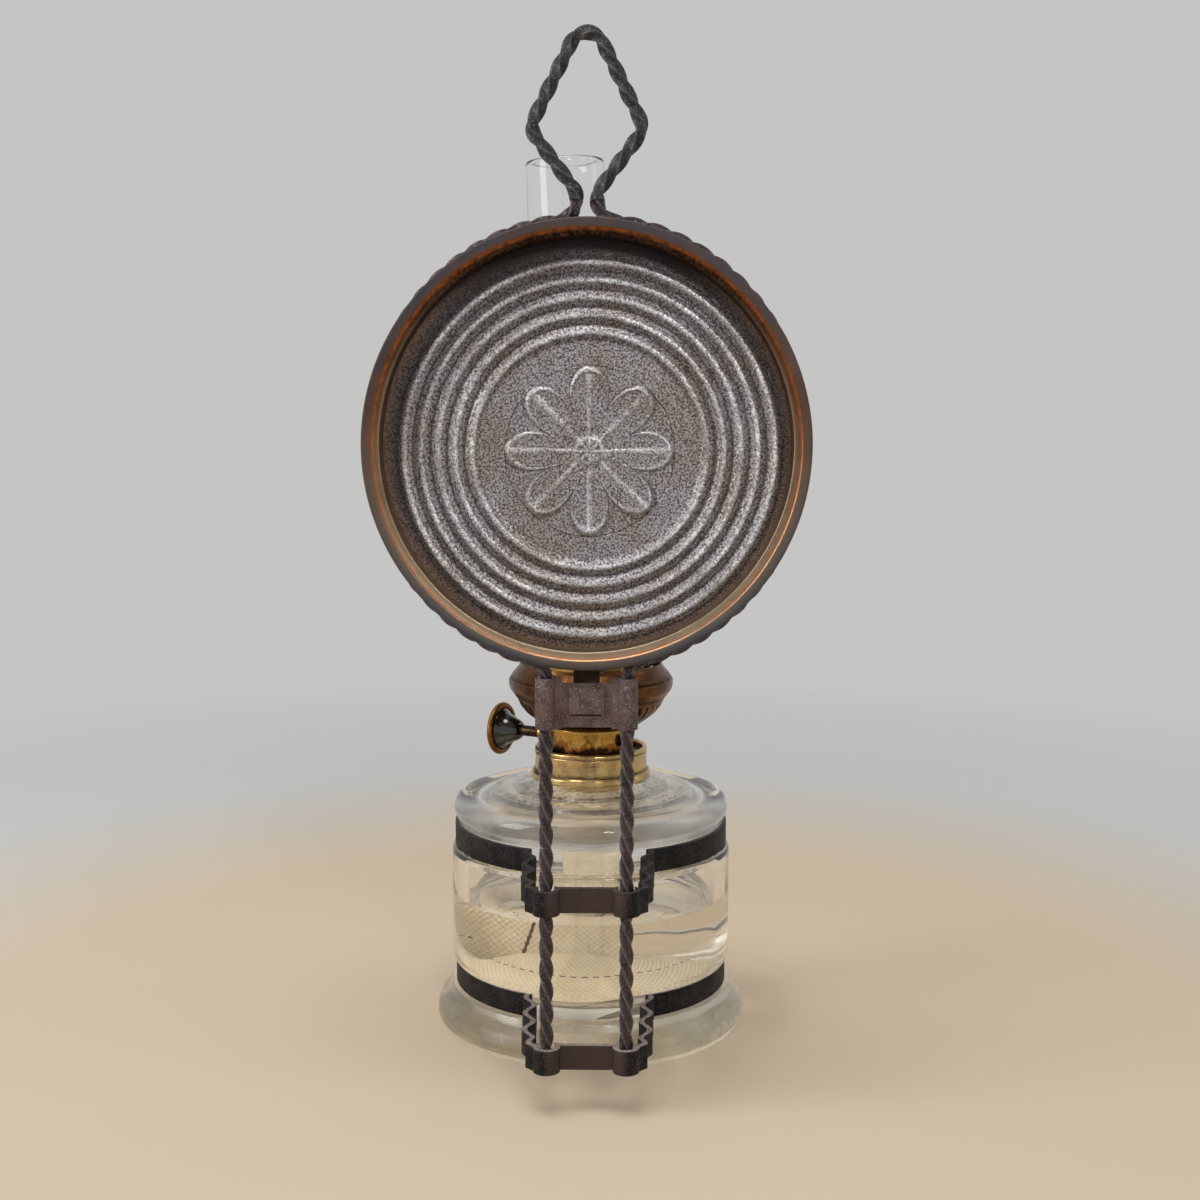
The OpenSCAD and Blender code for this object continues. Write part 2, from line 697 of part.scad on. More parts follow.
module front_bezel() {
  cup_in = wall_r + fit;
  cup_r = cup_in + rim_t;
  flange_y = bezel_flange_y;
  color([0.6, 0.46, 0.24]) round_reflector() polygon(concat(
    [[wall_r - bezel_face_w, bezel_y + 0.1], [wall_r - bezel_face_w, bezel_y + rim_t],
     [cup_in, bezel_y + rim_t], [cup_in, flange_y]],
    [[lip_r - 1.5, flange_y]],
    arc_points([lip_r - 1.5, flange_y - 0.7], 0.7, 90, -90, 6),
    [[cup_r + 0.6, flange_y - 1.4], [cup_r, flange_y - 2], [cup_r, bezel_y + 1.6]],
    arc_points([cup_r - 1.6, bezel_y + 1.1], 1.6, 0, -90, 5)));
}

// Burner pieces turn together to the angle of the wick
module turned() {
  rotate(burner_turn) children();
}

// A bore or shaft along the spindle, from one distance to another
module along_spindle(from, to, r) {
  translate([from, spindle_v, spindle_z]) rotate([0, 90, 0])
    cylinder(r = r, h = to - from, $fn = 48);
}

module burner_base() {
  flange_t = 0.9;
  color([0.66, 0.49, 0.22]) turned() difference() {
    union() {
      rotate_extrude() {
        translate([throat_in_r, burner_z - skirt_h]) square([sheet_t, skirt_h + throat_h]);
        translate([throat_in_r, burner_z + eps]) square([collar_r - 2.2 - throat_in_r, flange_t]);
        translate([throat_r - 0.3, throat_top - 1]) square([0.9, 1]);
      }
      translate([0, 0, diaphragm_z]) cylinder(r = throat_in_r + eps, h = sheet_t);
    }
    translate([-tube_in_x - tube_t - fit, -tube_in_y - tube_t - fit, diaphragm_z - 1])
      cube([2 * (tube_in_x + tube_t + fit), 2 * (tube_in_y + tube_t + fit), sheet_t + 2]);
    along_spindle(0, throat_r + 3, bush_r + 0.02);
    along_spindle(-throat_r - 3, 0, spindle_r + run_fit);
  }
}

// Half of the basket's height is in its steep upper wall
basket_outline = [[throat_r + 0.1, 0], [0.68 * basket_r, 0.11], [0.77 * basket_r, 0.27],
  [0.87 * basket_r, 0.47], [0.945 * basket_r, 0.7], [basket_r, 1]];

module burner_basket() {
  outer = [for (p = basket_outline) [p.x, throat_top + 0.05 + p.y * (basket_h - 0.05)]];
  n = len(outer);
  inner = [for (i = [n - 1:-1:0]) [outer[i].x - sheet_t, outer[i].y + (i == n - 1 ? 0 : 0.35)]];
  color([0.42, 0.28, 0.14]) turned() difference() {
    rotate_extrude() polygon(concat(outer, inner));
    for (i = [0:basket_slots - 1]) rotate(360 * (i + 0.5) / basket_slots)
      translate([throat_r + 3, -slot_w / 2, throat_top + basket_h * 0.2])
        cube([basket_r, slot_w, basket_h * 0.66]);
  }
}

// Bulging brass ring with a groove, and a ledge inside that carries the chimney
module burner_gallery() {
  mid = basket_top + 5.8;
  outer = concat(
    [[basket_r - 0.9, basket_top + fit], [basket_r + 0.3, basket_top + fit]],
    [for (a = [-60:15:-15]) [gallery_r - 3.2 + 3.2 * cos(a), mid + 5.6 * sin(a)]],
    [[gallery_r, mid], [gallery_r - 0.1, mid + 0.9], [gallery_r - 0.7, mid + 1.2],
     [gallery_r - 0.6, mid + 1.7], [gallery_r - 1.4, mid + 2.9],
     [gallery_r - 3.8, gallery_top - 1.2], [gallery_r - 4, gallery_top]]);
  inner = [[gallery_r - 4.7, gallery_top], [gallery_r - 4.6, gallery_top - 1.4],
    [gallery_r - 2.6, mid + 2.4], [gallery_r - 1.5, mid + 1], [gallery_r - 0.9, mid],
    [gallery_r - 1.6, mid - 2.6], [basket_r - 0.9, basket_top + 0.9]];
  color([0.48, 0.32, 0.15]) turned() rotate_extrude() {
    polygon(concat(outer, inner));
    translate([ledge_in_r, chimney_z - sheet_t]) square([gallery_r - 2.4 - ledge_in_r, sheet_t]);
  }
}

// Leaf springs that stand on the ledge and hold the chimney's foot
module chimney_springs() {
  leaf_w = 7;
  leaf_t = 0.5;
  color([0.7, 0.55, 0.28]) turned() for (i = [0:springs - 1])
    rotate(360 * (i + 0.5) / springs) intersection() {
      rotate_extrude() polygon([[spring_r, chimney_z + eps], [spring_r + 1.4, chimney_z + eps],
        [spring_r + 1.4, chimney_z + leaf_t], [spring_r + 0.3 + leaf_t, chimney_z + leaf_t],
        [spring_r + leaf_t - 0.1, chimney_z + spring_h * 0.8],
        [spring_r + 2, chimney_z + spring_h], [spring_r + 1.5, chimney_z + spring_h],
        [spring_r - 0.1, chimney_z + spring_h * 0.8], [spring_r + 0.2, chimney_z + leaf_t]]);
      translate([0, -leaf_w / 2, chimney_z]) cube([40, leaf_w, spring_h + 1]);
    }
}

module flame_cone() {
  slot_l = wick_w + 4;
  slot_t = wick_t + 3;
  foot = chimney_z - 4.4;
  outer = concat(
    [[cone_r + 1.1, foot], [cone_r + 1.1, foot + sheet_t], [cone_r, foot + sheet_t + 0.3]],
    [for (a = [0:10:80]) [3 + (cone_r - 3) * cos(a), chimney_z + cone_h * sin(a)]],
    [[0, chimney_z + cone_h]]);
  inner = [[0, chimney_z + cone_h - sheet_t],
    each [for (a = [80:-10:0])
      [3 + (cone_r - 3 - sheet_t) * cos(a), chimney_z + (cone_h - sheet_t) * sin(a)]],
    [cone_r - sheet_t, foot]];
  color([0.6, 0.45, 0.22]) turned() difference() {
    rotate_extrude() polygon(concat(outer, inner));
    translate([-slot_l / 2, -slot_t / 2, chimney_z + 4]) cube([slot_l, slot_t, cone_h]);
  }
}

module wick_tube() {
  h = tube_top_z - tube_foot_z;
  color([0.6, 0.46, 0.24]) turned() difference() {
    translate([-tube_in_x - tube_t, -tube_in_y - tube_t, tube_foot_z])
      cube([2 * (tube_in_x + tube_t), 2 * (tube_in_y + tube_t), h]);
    translate([-tube_in_x, -tube_in_y, tube_foot_z - 1])
      cube([2 * tube_in_x, 2 * tube_in_y, h + 2]);
    for (side = [-1, 1])
      translate([side * wheel_u - wheel_w / 2 - free, 0, spindle_z - wheel_r - 0.6])
        cube([wheel_w + 2 * free, 2 * tube_in_y, 2 * wheel_r + 1.2]);
  }
}

module spindle_bush() {
  color([0.64, 0.48, 0.22]) turned() difference() {
    along_spindle(tube_in_x + tube_t + fit, bush_end_u, bush_r);
    along_spindle(tube_in_x, bush_end_u + 1, spindle_r + run_fit);
  }
}

module wick_spindle() {
  color([0.22, 0.19, 0.14]) turned()
    along_spindle(spindle_end_u, knob_u + 1.6, spindle_r);
}

// A flat wheel with pointed teeth that grip the wick
module tooth_wheel() {
  root_r = wheel_r - 1;
  translate([0, 0, -wheel_w / 2]) linear_extrude(wheel_w) difference() {
    polygon([for (i = [0:2 * wheel_teeth - 1])
      let (r = i % 2 == 0 ? wheel_r : root_r, a = 180 * i / wheel_teeth)
      [r * cos(a), r * sin(a)]]);
    circle(spindle_r + 0.02, $fn = 48);
  }
}

module wick_wheels() {
  color([0.5, 0.42, 0.25]) turned() for (side = [-1, 1])
    translate([side * wheel_u, spindle_v, spindle_z]) rotate([0, 90, 0]) tooth_wheel();
}

// Turns a section drawn as (radius, distance from the burner) round the spindle
module round_spindle() {
  translate([0, spindle_v, spindle_z]) rotate([0, 90, 0]) rotate_extrude($fn = 72) children();
}

module knob_disc() {
  edge_r = 1.1;
  bore = spindle_r + 0.02;
  edge = [knob_r - edge_r, knob_u + 0.1];
  color([0.5, 0.37, 0.16]) turned() round_spindle() polygon(concat(
    [[bore, knob_u + 0.2], [bore, knob_u + 1.4], [4.6, knob_u + 1.4], [5.2, knob_u + 0.9]],
    arc_points(edge, edge_r, 160, -160, 16),
    [[knob_r - 2.4, knob_u - 0.3], [4.4, knob_u + 0.2]]));
}

module knob_hub() {
  bore = spindle_r + 0.02;
  foot = knob_u - 8.2;
  color([0.06, 0.05, 0.05]) turned() round_spindle()
    polygon([[bore, foot], [3.2, foot], [3.7, foot + 0.6], [4.5, foot + 2.2], [5.1, foot + 3.6],
      [5.6, foot + 5], [6.3, foot + 6.2], [knob_r - 2.2, foot + 7.2],
      [knob_r - 2.3, knob_u - 0.36], [4.4, knob_u + 0.1], [bore, knob_u + 0.1]]);
}

module wick() {
  color([0.86, 0.80, 0.66]) turned()
    translate([-wick_w / 2, -wick_t / 2, wick_foot_z])
      cube([wick_w, wick_t, wick_top_z - wick_foot_z]);
}

function ease(f) = let (g = min(1, max(0, f))) g * g * (3 - 2 * g);

// Height of the font's rounded inside corner over its floor, at a radius
function corner_rise(r) =
  let (over = min(max(0, r - font_in_r + bowl_r), bowl_r)) bowl_r - sqrt(bowl_r * bowl_r - over * over);

// The loose wick's curl: upright out from under the tube, then it falls over towards the wall
// and lies in the rounded corner with its inner edge raised. Each station is a middle point
// and a direction across the tape.
curl_start = burner_turn + asin(curl_bend / (curl_r - curl_bend));
curl_plan = concat(
  [0.01 * [cos(burner_turn), sin(burner_turn)]],
  arc_points((curl_r - curl_bend) * [cos(curl_start), sin(curl_start)],
             curl_bend, burner_turn - 90, curl_start, 8),
  [for (i = [1:30]) let (a = curl_start + (curl_end - curl_start) * i / 30) curl_r * [cos(a), sin(a)]]);
curl_stations = [for (p = curl_plan)
  let (half = wick_w / 2, a = atan2(p.y, p.x), fallen = ease((a - curl_start + 15) / 37),
       front = exp(-pow((a - 80) / 45, 2)), tilt = 90 - fallen * (100 + (curl_tilt - 10) * front),
       r = norm(p) - (curl_r - curl_low_r) * ease((a - curl_start + 8) / 28),
       lift = corner_rise(r + half * cos(tilt) + 1) + curl_lift * fallen * (1 - front),
       rise = max(half * sin(tilt), lift - half * sin(tilt)))
  [[r * cos(a), r * sin(a), tail_foot_z + rise + wick_t / 2 * cos(tilt)],
   [cos(a) * cos(tilt), sin(a) * cos(tilt), sin(tilt)]]];

// A flat tape through its stations
module tape(stations, half_w, half_t) {
  middle = [for (s = stations) s[0]];
  four_sided([for (i = [0:len(stations) - 1])
    let (side = stations[i][1], face = unit(cross(heading(middle, i), side)))
    for (k = [[1, 1], [-1, 1], [-1, -1], [1, -1]])
      middle[i] + k.x * half_w * side + k.y * half_t * face]);
}

// The loose wick hangs from the tube, folds and curls on the floor against the glass
module wick_tail_shape(extra) {
  half_t = wick_t / 2 + extra;
  foot = tail_foot_z + fold_t - 2 * extra;
  turned() translate([-wick_w / 2 - extra, -half_t, foot])
    cube([wick_w + 2 * extra, 2 * half_t, tail_top_z - foot]);
  tape(curl_stations, wick_w / 2 + 2 * extra, half_t - fold_t / 6);
}

module wick_tail() {
  color([0.88, 0.82, 0.66]) wick_tail_shape(0);
}

// Radius of the chimney's outside at a height over its foot
foot_h = 12;
belly_z = 34;
tube_z = 84;
tube_r = chimney_top_r + 1.2;
function chimney_outside(h) =
  h < foot_h ? chimney_r :
  h < belly_z ? chimney_r + (belly_r - chimney_r) * ease((h - foot_h) / (belly_z - foot_h)) :
  h < tube_z ? belly_r + (tube_r - belly_r) * ease((h - belly_z) / (tube_z - belly_z)) :
  tube_r + (chimney_top_r - tube_r) * (h - tube_z) / (chimney_h - tube_z);

module chimney() {
  heights = concat([0], [for (i = [0:8]) foot_h + (belly_z - foot_h) * i / 8],
    [for (i = [1:14]) belly_z + (tube_z - belly_z) * i / 14], [chimney_h]);
  n = len(heights);
  outer = [for (h = heights) [chimney_outside(h), h]];
  inner = [for (i = [n - 1:-1:0]) [outer[i].x - chimney_t, outer[i].y]];
  color([0.85, 0.88, 0.88, 0.35])
    translate([chimney_r, 0, chimney_z + fit]) rotate([0, chimney_lean, 0])
      translate([-chimney_r, 0, 0]) rotate_extrude($fn = 144) polygon(concat(outer, inner));
}

font_glass();
font_oil();
font_collar();
collar_plaster();
lower_strap();
upper_strap();
rod_solder();
left_iron();
right_iron();
hanging_loop();
head_plate();
reflector_rim();
back_plate();
mirror_packing();
mirror_glass();
front_bezel();
reflector_tongue();
burner_base();
burner_basket();
burner_gallery();
chimney_springs();
flame_cone();
wick_tube();
spindle_bush();
wick_spindle();
wick_wheels();
knob_disc();
knob_hub();
wick();
wick_tail();
chimney();
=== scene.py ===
"""Wall oil lamp: a glass font in a frame of twisted iron, a round reflector, a burner and a chimney."""
import math
import random

import bmesh
import bpy
from mathutils import Matrix, Vector, noise


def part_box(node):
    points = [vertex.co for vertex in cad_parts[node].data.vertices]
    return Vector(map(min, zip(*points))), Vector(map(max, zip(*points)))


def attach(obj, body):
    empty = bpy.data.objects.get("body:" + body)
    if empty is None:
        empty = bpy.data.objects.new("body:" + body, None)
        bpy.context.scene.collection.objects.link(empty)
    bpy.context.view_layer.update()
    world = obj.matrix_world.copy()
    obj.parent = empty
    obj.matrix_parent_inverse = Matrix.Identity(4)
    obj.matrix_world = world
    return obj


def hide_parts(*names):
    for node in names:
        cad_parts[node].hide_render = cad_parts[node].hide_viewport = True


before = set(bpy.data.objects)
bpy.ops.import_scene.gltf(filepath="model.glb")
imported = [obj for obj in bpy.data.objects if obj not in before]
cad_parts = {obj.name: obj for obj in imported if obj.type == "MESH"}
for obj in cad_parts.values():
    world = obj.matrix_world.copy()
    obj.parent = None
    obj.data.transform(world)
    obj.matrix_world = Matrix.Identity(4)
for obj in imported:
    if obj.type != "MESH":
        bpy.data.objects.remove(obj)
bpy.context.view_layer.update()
MM = 0.001
random.seed(7)

# Camera of the photograph, in millimetres and degrees
PHOTO_SIZE = 1200
FOCAL_PIXELS = 1600
CAMERA_MM = (-8.81, 581.66, 223.39)
CAMERA_PITCH = 6.618
CAMERA_YAW = 0.544
CAMERA_ROLL = 0.087

# Lamp sizes in millimetres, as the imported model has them
IRON_SIDE = 3.4
TWIST_PITCH = 29.0
ROD_X = 12.7
ROD_Y = 91.5
STRAP_W = 8.0
STRAP_T = 1.8
REFLECTOR_Z = 213.5
LIP_R = 68.6
BURNER_TURN = -27.0
SPINDLE_V = 5.1


def corners(node):
    """Lowest and highest corner of a node in millimetres."""
    low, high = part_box(node)
    return Vector(low) / MM, Vector(high) / MM


# Mesh building

def new_object(name, verts, faces, material, smooth=True):
    """Makes a mesh object from points in millimetres."""
    mesh = bpy.data.meshes.new(name)
    mesh.from_pydata([Vector(v) * MM for v in verts], [], faces)
    mesh.validate()
    obj = bpy.data.objects.new(name, mesh)
    bpy.context.scene.collection.objects.link(obj)
    if material:
        mesh.materials.append(material)
    mesh.polygons.foreach_set("use_smooth", [smooth] * len(mesh.polygons))
    return obj


def arc(centre, radius, start, end, count):
    """Points of an arc in a plane, angles in degrees."""
    points = []
    for i in range(count + 1):
        angle = math.radians(start + (end - start) * i / count)
        points.append((centre[0] + radius * math.cos(angle), centre[1] + radius * math.sin(angle)))
    return points


def rounded(points, radius, steps=4, closed=True):
    """The outline with its corners rounded; a radius may be given per point."""
    out = []
    count = len(points)
    for i, point in enumerate(points):
        here = Vector(point[:2])
        limit = point[2] if len(point) > 2 else radius
        if not closed and i in (0, count - 1):
            out.append(tuple(here))
            continue
        before = Vector(points[i - 1][:2])
        after = Vector(points[(i + 1) % count][:2])
        to_before = before - here
        to_after = after - here
        angle = to_before.angle(to_after, math.pi)
        if limit <= 0 or angle > math.radians(178):
            out.append(tuple(here))
            continue
        cut = min(limit / math.tan(angle / 2), 0.45 * to_before.length, 0.45 * to_after.length)
        first = here + to_before.normalized() * cut
        last = here + to_after.normalized() * cut
        for k in range(steps + 1):
            t = k / steps
            curve = first * (1 - t) ** 2 + here * 2 * t * (1 - t) + last * t ** 2
            out.append(tuple(curve))
    return out


def lathe(name, outline, material, segments=160, wobble=None, closed=True):
    """Turns a closed outline of (radius, height) about the Z axis."""
    verts = []
    faces = []
    count = len(outline)
    for s in range(segments):
        angle = 2 * math.pi * s / segments
        for radius, height in outline:
            shift = wobble(angle, radius, height) if wobble else 0.0
            verts.append(((radius + shift) * math.cos(angle), (radius + shift) * math.sin(angle), height))
    spans = count if closed else count - 1
    for s in range(segments):
        n = (s + 1) % segments
        for i in range(spans):
            j = (i + 1) % count
            faces.append((s * count + i, n * count + i, n * count + j, s * count + j))
    obj = new_object(name, verts, faces, material)
    tidy_mesh(obj)
    return obj


def tidy_mesh(obj, distance=0.002):
    """Joins points that lie together and turns the faces outwards."""
    bm = bmesh.new()
    bm.from_mesh(obj.data)
    bmesh.ops.remove_doubles(bm, verts=bm.verts, dist=distance * MM)
    thin = [f for f in bm.faces if f.calc_area() < 1e-14]
    bmesh.ops.delete(bm, geom=thin, context="FACES_ONLY")
    bmesh.ops.recalc_face_normals(bm, faces=bm.faces)
    bm.to_mesh(obj.data)
    bm.free()


def move_points(obj, rule):
    """Moves every point of a mesh by a rule in millimetres."""
    for vert in obj.data.vertices:
        vert.co = Vector(rule(vert.co / MM)) * MM
    obj.data.update()


def onto_reflector(obj):
    """Turns a lathed piece so that its height points towards the wall, on the reflector's axis."""
    move_points(obj, lambda p: (p.x, p.z, REFLECTOR_Z - p.y))


def onto_burner(obj):
    """Turns a burner piece to the angle of the wick."""
    turn = math.radians(BURNER_TURN)
    move_points(obj, lambda p: (p.x * math.cos(turn) - p.y * math.sin(turn),
                                p.x * math.sin(turn) + p.y * math.cos(turn), p.z))


def sharp_edges(obj, angle=40):
    """Keeps edges sharper than an angle crisp."""
    obj.data.set_sharp_from_angle(angle=math.radians(angle))


def join(name, objects):
    """One object from several."""
    bm = bmesh.new()
    for obj in objects:
        bm.from_mesh(obj.data)
    material = objects[0].data.materials[0]
    mesh = bpy.data.meshes.new(name)
    bm.to_mesh(mesh)
    bm.free()
    mesh.materials.append(material)
    for obj in objects:
        bpy.data.objects.remove(obj)
    whole = bpy.data.objects.new(name, mesh)
    bpy.context.scene.collection.objects.link(whole)
    return whole


def place(obj, body, nodes):
    """Hangs a piece on the empty of the body it rides on and hides the nodes it stands for."""
    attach(obj, body)
    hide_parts(*nodes)
    return obj


def smooth_noise(x, y, z, scale):
    """Noise from -1 to 1 at a scale in millimetres."""
    return noise.noise(Vector((x, y, z)) / scale)


def ease(value):
    """A smooth step from 0 to 1."""
    g = min(1.0, max(0.0, value))
    return g * g * (3 - 2 * g)


# Shader building

def tone(code):
    """A colour as it is seen, written as six hex digits, for a shader socket."""
    values = []
    for k in (0, 2, 4):
        c = int(code[k:k + 2], 16) / 255
        values.append(c / 12.92 if c <= 0.04045 else ((c + 0.055) / 1.055) ** 2.4)
    return (*values, 1.0)


class Shade:
    """Adds nodes to a material or a node group."""

    def __init__(self, tree):
        self.tree = tree
        self.across = 0

    def add(self, kind, inputs=None, **settings):
        node = self.tree.nodes.new(kind)
        self.across += 180
        node.location = (self.across, 0)
        for key, value in settings.items():
            setattr(node, key, value)
        for key, value in (inputs or {}).items():
            self.feed(node.inputs[key], value)
        return node

    def feed(self, socket, value):
        if isinstance(value, bpy.types.NodeSocket):
            self.tree.links.new(value, socket)
        else:
            socket.default_value = value

    def math(self, operation, a, b=0.0, clamp=False):
        node = self.add("ShaderNodeMath", {0: a, 1: b}, operation=operation, use_clamp=clamp)
        return node.outputs[0]

    def span(self, value, low, high, out_low=0.0, out_high=1.0):
        node = self.add("ShaderNodeMapRange", {"Value": value, "From Min": low, "From Max": high,
                                               "To Min": out_low, "To Max": out_high})
        return node.outputs[0]

    def mix(self, factor, a, b):
        node = self.add("ShaderNodeMix", data_type="RGBA")
        self.feed(node.inputs[0], factor)
        self.feed(node.inputs[6], a)
        self.feed(node.inputs[7], b)
        return node.outputs[2]

    def group(self, name, inputs=None):
        node = self.add("ShaderNodeGroup", node_tree=GROUPS[name])
        for key, value in (inputs or {}).items():
            self.feed(node.inputs[key], value)
        return node

    def attribute(self, name):
        return self.add("ShaderNodeAttribute", attribute_name=name).outputs["Fac"]

    def place(self):
        return self.add("ShaderNodeTexCoord").outputs["Object"]


GROUPS = {}


def start_group(name, inputs, outputs):
    """A new node group with named float or colour sockets; returns its Shade and its input node."""
    tree = bpy.data.node_groups.new(name, "ShaderNodeTree")
    kinds = {"float": "NodeSocketFloat", "colour": "NodeSocketColor", "vector": "NodeSocketVector"}
    for socket, (kind, default) in inputs.items():
        made = tree.interface.new_socket(name=socket, in_out="INPUT", socket_type=kinds[kind])
        if default is not None:
            made.default_value = default
    for socket, kind in outputs.items():
        tree.interface.new_socket(name=socket, in_out="OUTPUT", socket_type=kinds[kind])
    GROUPS[name] = tree
    shade = Shade(tree)
    source = shade.add("NodeGroupInput")
    return shade, source


def end_group(shade, values):
    shade.add("NodeGroupOutput", values)


def grain_group():
    """Noise of a size in millimetres, cut to a mask between two levels."""
    shade, source = start_group("grain", {"Size": ("float", 1.0), "Detail": ("float", 3.0),
                                          "Low": ("float", 0.4), "High": ("float", 0.6)},
                                {"Mask": "float", "Noise": "float"})
    scale = shade.math("DIVIDE", 1000.0, source.outputs["Size"])
    texture = shade.add("ShaderNodeTexNoise", {"Vector": shade.place(), "Scale": scale,
                                               "Detail": source.outputs["Detail"], "Roughness": 0.6})
    mask = shade.span(texture.outputs["Fac"], source.outputs["Low"], source.outputs["High"])
    end_group(shade, {"Mask": mask, "Noise": texture.outputs["Fac"]})


def pitted_group():
    """Height of rough forged or rusted iron: fine grain over broader hollows."""
    shade, source = start_group("pitted", {"Fine size": ("float", 0.4), "Broad size": ("float", 3.0)},
                                {"Height": "float"})
    fine = shade.group("grain", {"Size": source.outputs["Fine size"], "Detail": 4.0})
    broad = shade.group("grain", {"Size": source.outputs["Broad size"], "Detail": 2.0})
    height = shade.math("ADD", shade.math("MULTIPLY", fine.outputs["Noise"], 0.35),
                        shade.math("MULTIPLY", broad.outputs["Noise"], 0.65))
    end_group(shade, {"Height": height})


def wear_group():
    """Mask of bare metal on worn edges, broken up by grain. The mesh holds where its edges are, and on pieces cut from
    sheet and bar a painted light on what looks up.
    """
    shade, source = start_group("edge wear", {"Size": ("float", 1.2), "Amount": ("float", 1.0)},
                                {"Mask": "float"})
    edge = shade.attribute("edge")
    breakup = shade.group("grain", {"Size": source.outputs["Size"], "Low": 0.35, "High": 0.65})
    strength = shade.math("MULTIPLY", edge, source.outputs["Amount"])
    mask = shade.math("MULTIPLY", strength, shade.span(breakup.outputs["Mask"], 0, 1, 0.25, 1.0), clamp=True)
    end_group(shade, {"Mask": mask})


def tarnish_group():
    """Brass that darkens in drifting patches and goes black where the mesh marks hollows: dirt on most pieces, painted
    shade on the rim.
    """
    shade, source = start_group("tarnish", {"Bright": ("colour", (1, 1, 1, 1)), "Dark": ("colour", (0, 0, 0, 1)),
                                            "Black": ("colour", (0, 0, 0, 1)), "Patch size": ("float", 8.0),
                                            "Patch": ("float", 0.5)},
                                {"Colour": "colour", "Mask": "float"})
    patch = shade.group("grain", {"Size": source.outputs["Patch size"], "Detail": 5.0,
                                  "Low": 0.35, "High": 0.68})
    fine = shade.group("grain", {"Size": 0.7, "Detail": 4.0, "Low": 0.45, "High": 0.75})
    drift = shade.math("MULTIPLY", patch.outputs["Mask"], source.outputs["Patch"])
    drift = shade.math("ADD", drift, shade.math("MULTIPLY", fine.outputs["Mask"], 0.18), clamp=True)
    colour = shade.mix(drift, source.outputs["Bright"], source.outputs["Dark"])
    # Black where the mesh marks hollows: dirt on most pieces, painted shadow and shade on the rim.
    hollow = shade.attribute("hollow")
    ragged = shade.group("grain", {"Size": 1.1, "Detail": 4.0, "Low": 0.3, "High": 0.6})
    dirt = shade.math("MULTIPLY", hollow, shade.span(ragged.outputs["Mask"], 0, 1, 0.45, 1.0), clamp=True)
    colour = shade.mix(dirt, colour, source.outputs["Black"])
    end_group(shade, {"Colour": colour, "Mask": dirt})


def dried_oil_group():
    """Brown and black masks of oil that has dried upward from a foot, ragged at the top; heights in mm."""
    shade, source = start_group("dried oil", {"Foot": ("float", 0.0), "Black top": ("float", 2.0),
                                              "Brown top": ("float", 5.0)}, {"Brown": "float", "Black": "float"})
    height = shade.add("ShaderNodeSeparateXYZ", {0: shade.place()}).outputs["Z"]
    height = shade.math("MULTIPLY", height, 1000.0)
    ragged = shade.group("grain", {"Size": 2.6, "Detail": 4.0, "Low": 0.35, "High": 0.65})
    reach = shade.span(ragged.outputs["Mask"], 0, 1, 0.4, 1.0)
    masks = {}
    for name in ("Brown", "Black"):
        over = shade.math("SUBTRACT", height, source.outputs["Foot"])
        tall = shade.math("SUBTRACT", source.outputs[name + " top"], source.outputs["Foot"])
        share = shade.math("DIVIDE", over, shade.math("MULTIPLY", tall, reach))
        masks[name] = shade.span(share, 1.1, 0.8, 0.0, 0.9)
    end_group(shade, masks)


grain_group()
pitted_group()
wear_group()
tarnish_group()
dried_oil_group()


def new_material(name):
    material = bpy.data.materials.new(name)
    material.use_nodes = True
    material.node_tree.nodes.clear()
    shade = Shade(material.node_tree)
    return material, shade


def finish_material(shade, inputs, bump=None, strength=0.3, distance=0.0002):
    """The surface shader itself, with a bump from a height."""
    surface = shade.add("ShaderNodeBsdfPrincipled")
    for key, value in inputs.items():
        shade.feed(surface.inputs[key], value)
    if bump is not None:
        node = shade.add("ShaderNodeBump", {"Height": bump, "Strength": strength, "Distance": distance})
        shade.feed(surface.inputs["Normal"], node.outputs["Normal"])
    shade.add("ShaderNodeOutputMaterial", {"Surface": surface.outputs[0]})
    return surface


def iron(name, base, dark, light, bare, speckle=0.5, wear=0.8, rust=None, rust_amount=0.4, grain=0.45,
         rough=(0.5, 0.8), metal=0.35, bump=0.6, shine=0.4, rust_where=None):
    """Rough dark iron: two drifting tones, fine light speckles, rust patches and bare worn edges; where the mesh marks
    faces that look up, that bare tone is painted light.
    """
    material, shade = new_material(name)
    broad = shade.group("grain", {"Size": 5.0, "Detail": 4.0, "Low": 0.38, "High": 0.64})
    fine = shade.group("grain", {"Size": grain, "Detail": 3.0, "Low": 0.52, "High": 0.72})
    colour = shade.mix(broad.outputs["Mask"], tone(base), tone(dark))
    colour = shade.mix(shade.math("MULTIPLY", fine.outputs["Mask"], speckle), colour, tone(light))
    if rust:
        patches = shade.group("grain", {"Size": 9.0, "Detail": 5.0, "Low": 0.5, "High": 0.66})
        amount = shade.math("MULTIPLY", patches.outputs["Mask"], rust_amount * (0.4 if rust_where else 1.0))
        if rust_where:
            amount = shade.math("MAXIMUM", amount, shade.math("MULTIPLY", shade.attribute(rust_where), rust_amount))
        colour = shade.mix(amount, colour, tone(rust))
    edge = shade.group("edge wear", {"Size": 1.0, "Amount": wear})
    colour = shade.mix(edge.outputs["Mask"], colour, tone(bare))
    height = shade.group("pitted", {"Fine size": grain, "Broad size": 2.6})
    finish_material(shade, {"Base Color": colour, "Metallic": metal, "Specular IOR Level": shine,
                            "Roughness": shade.span(fine.outputs["Noise"], 0.3, 0.7, rough[1], rough[0])},
                    height.outputs["Height"], bump, 0.0004)
    return material


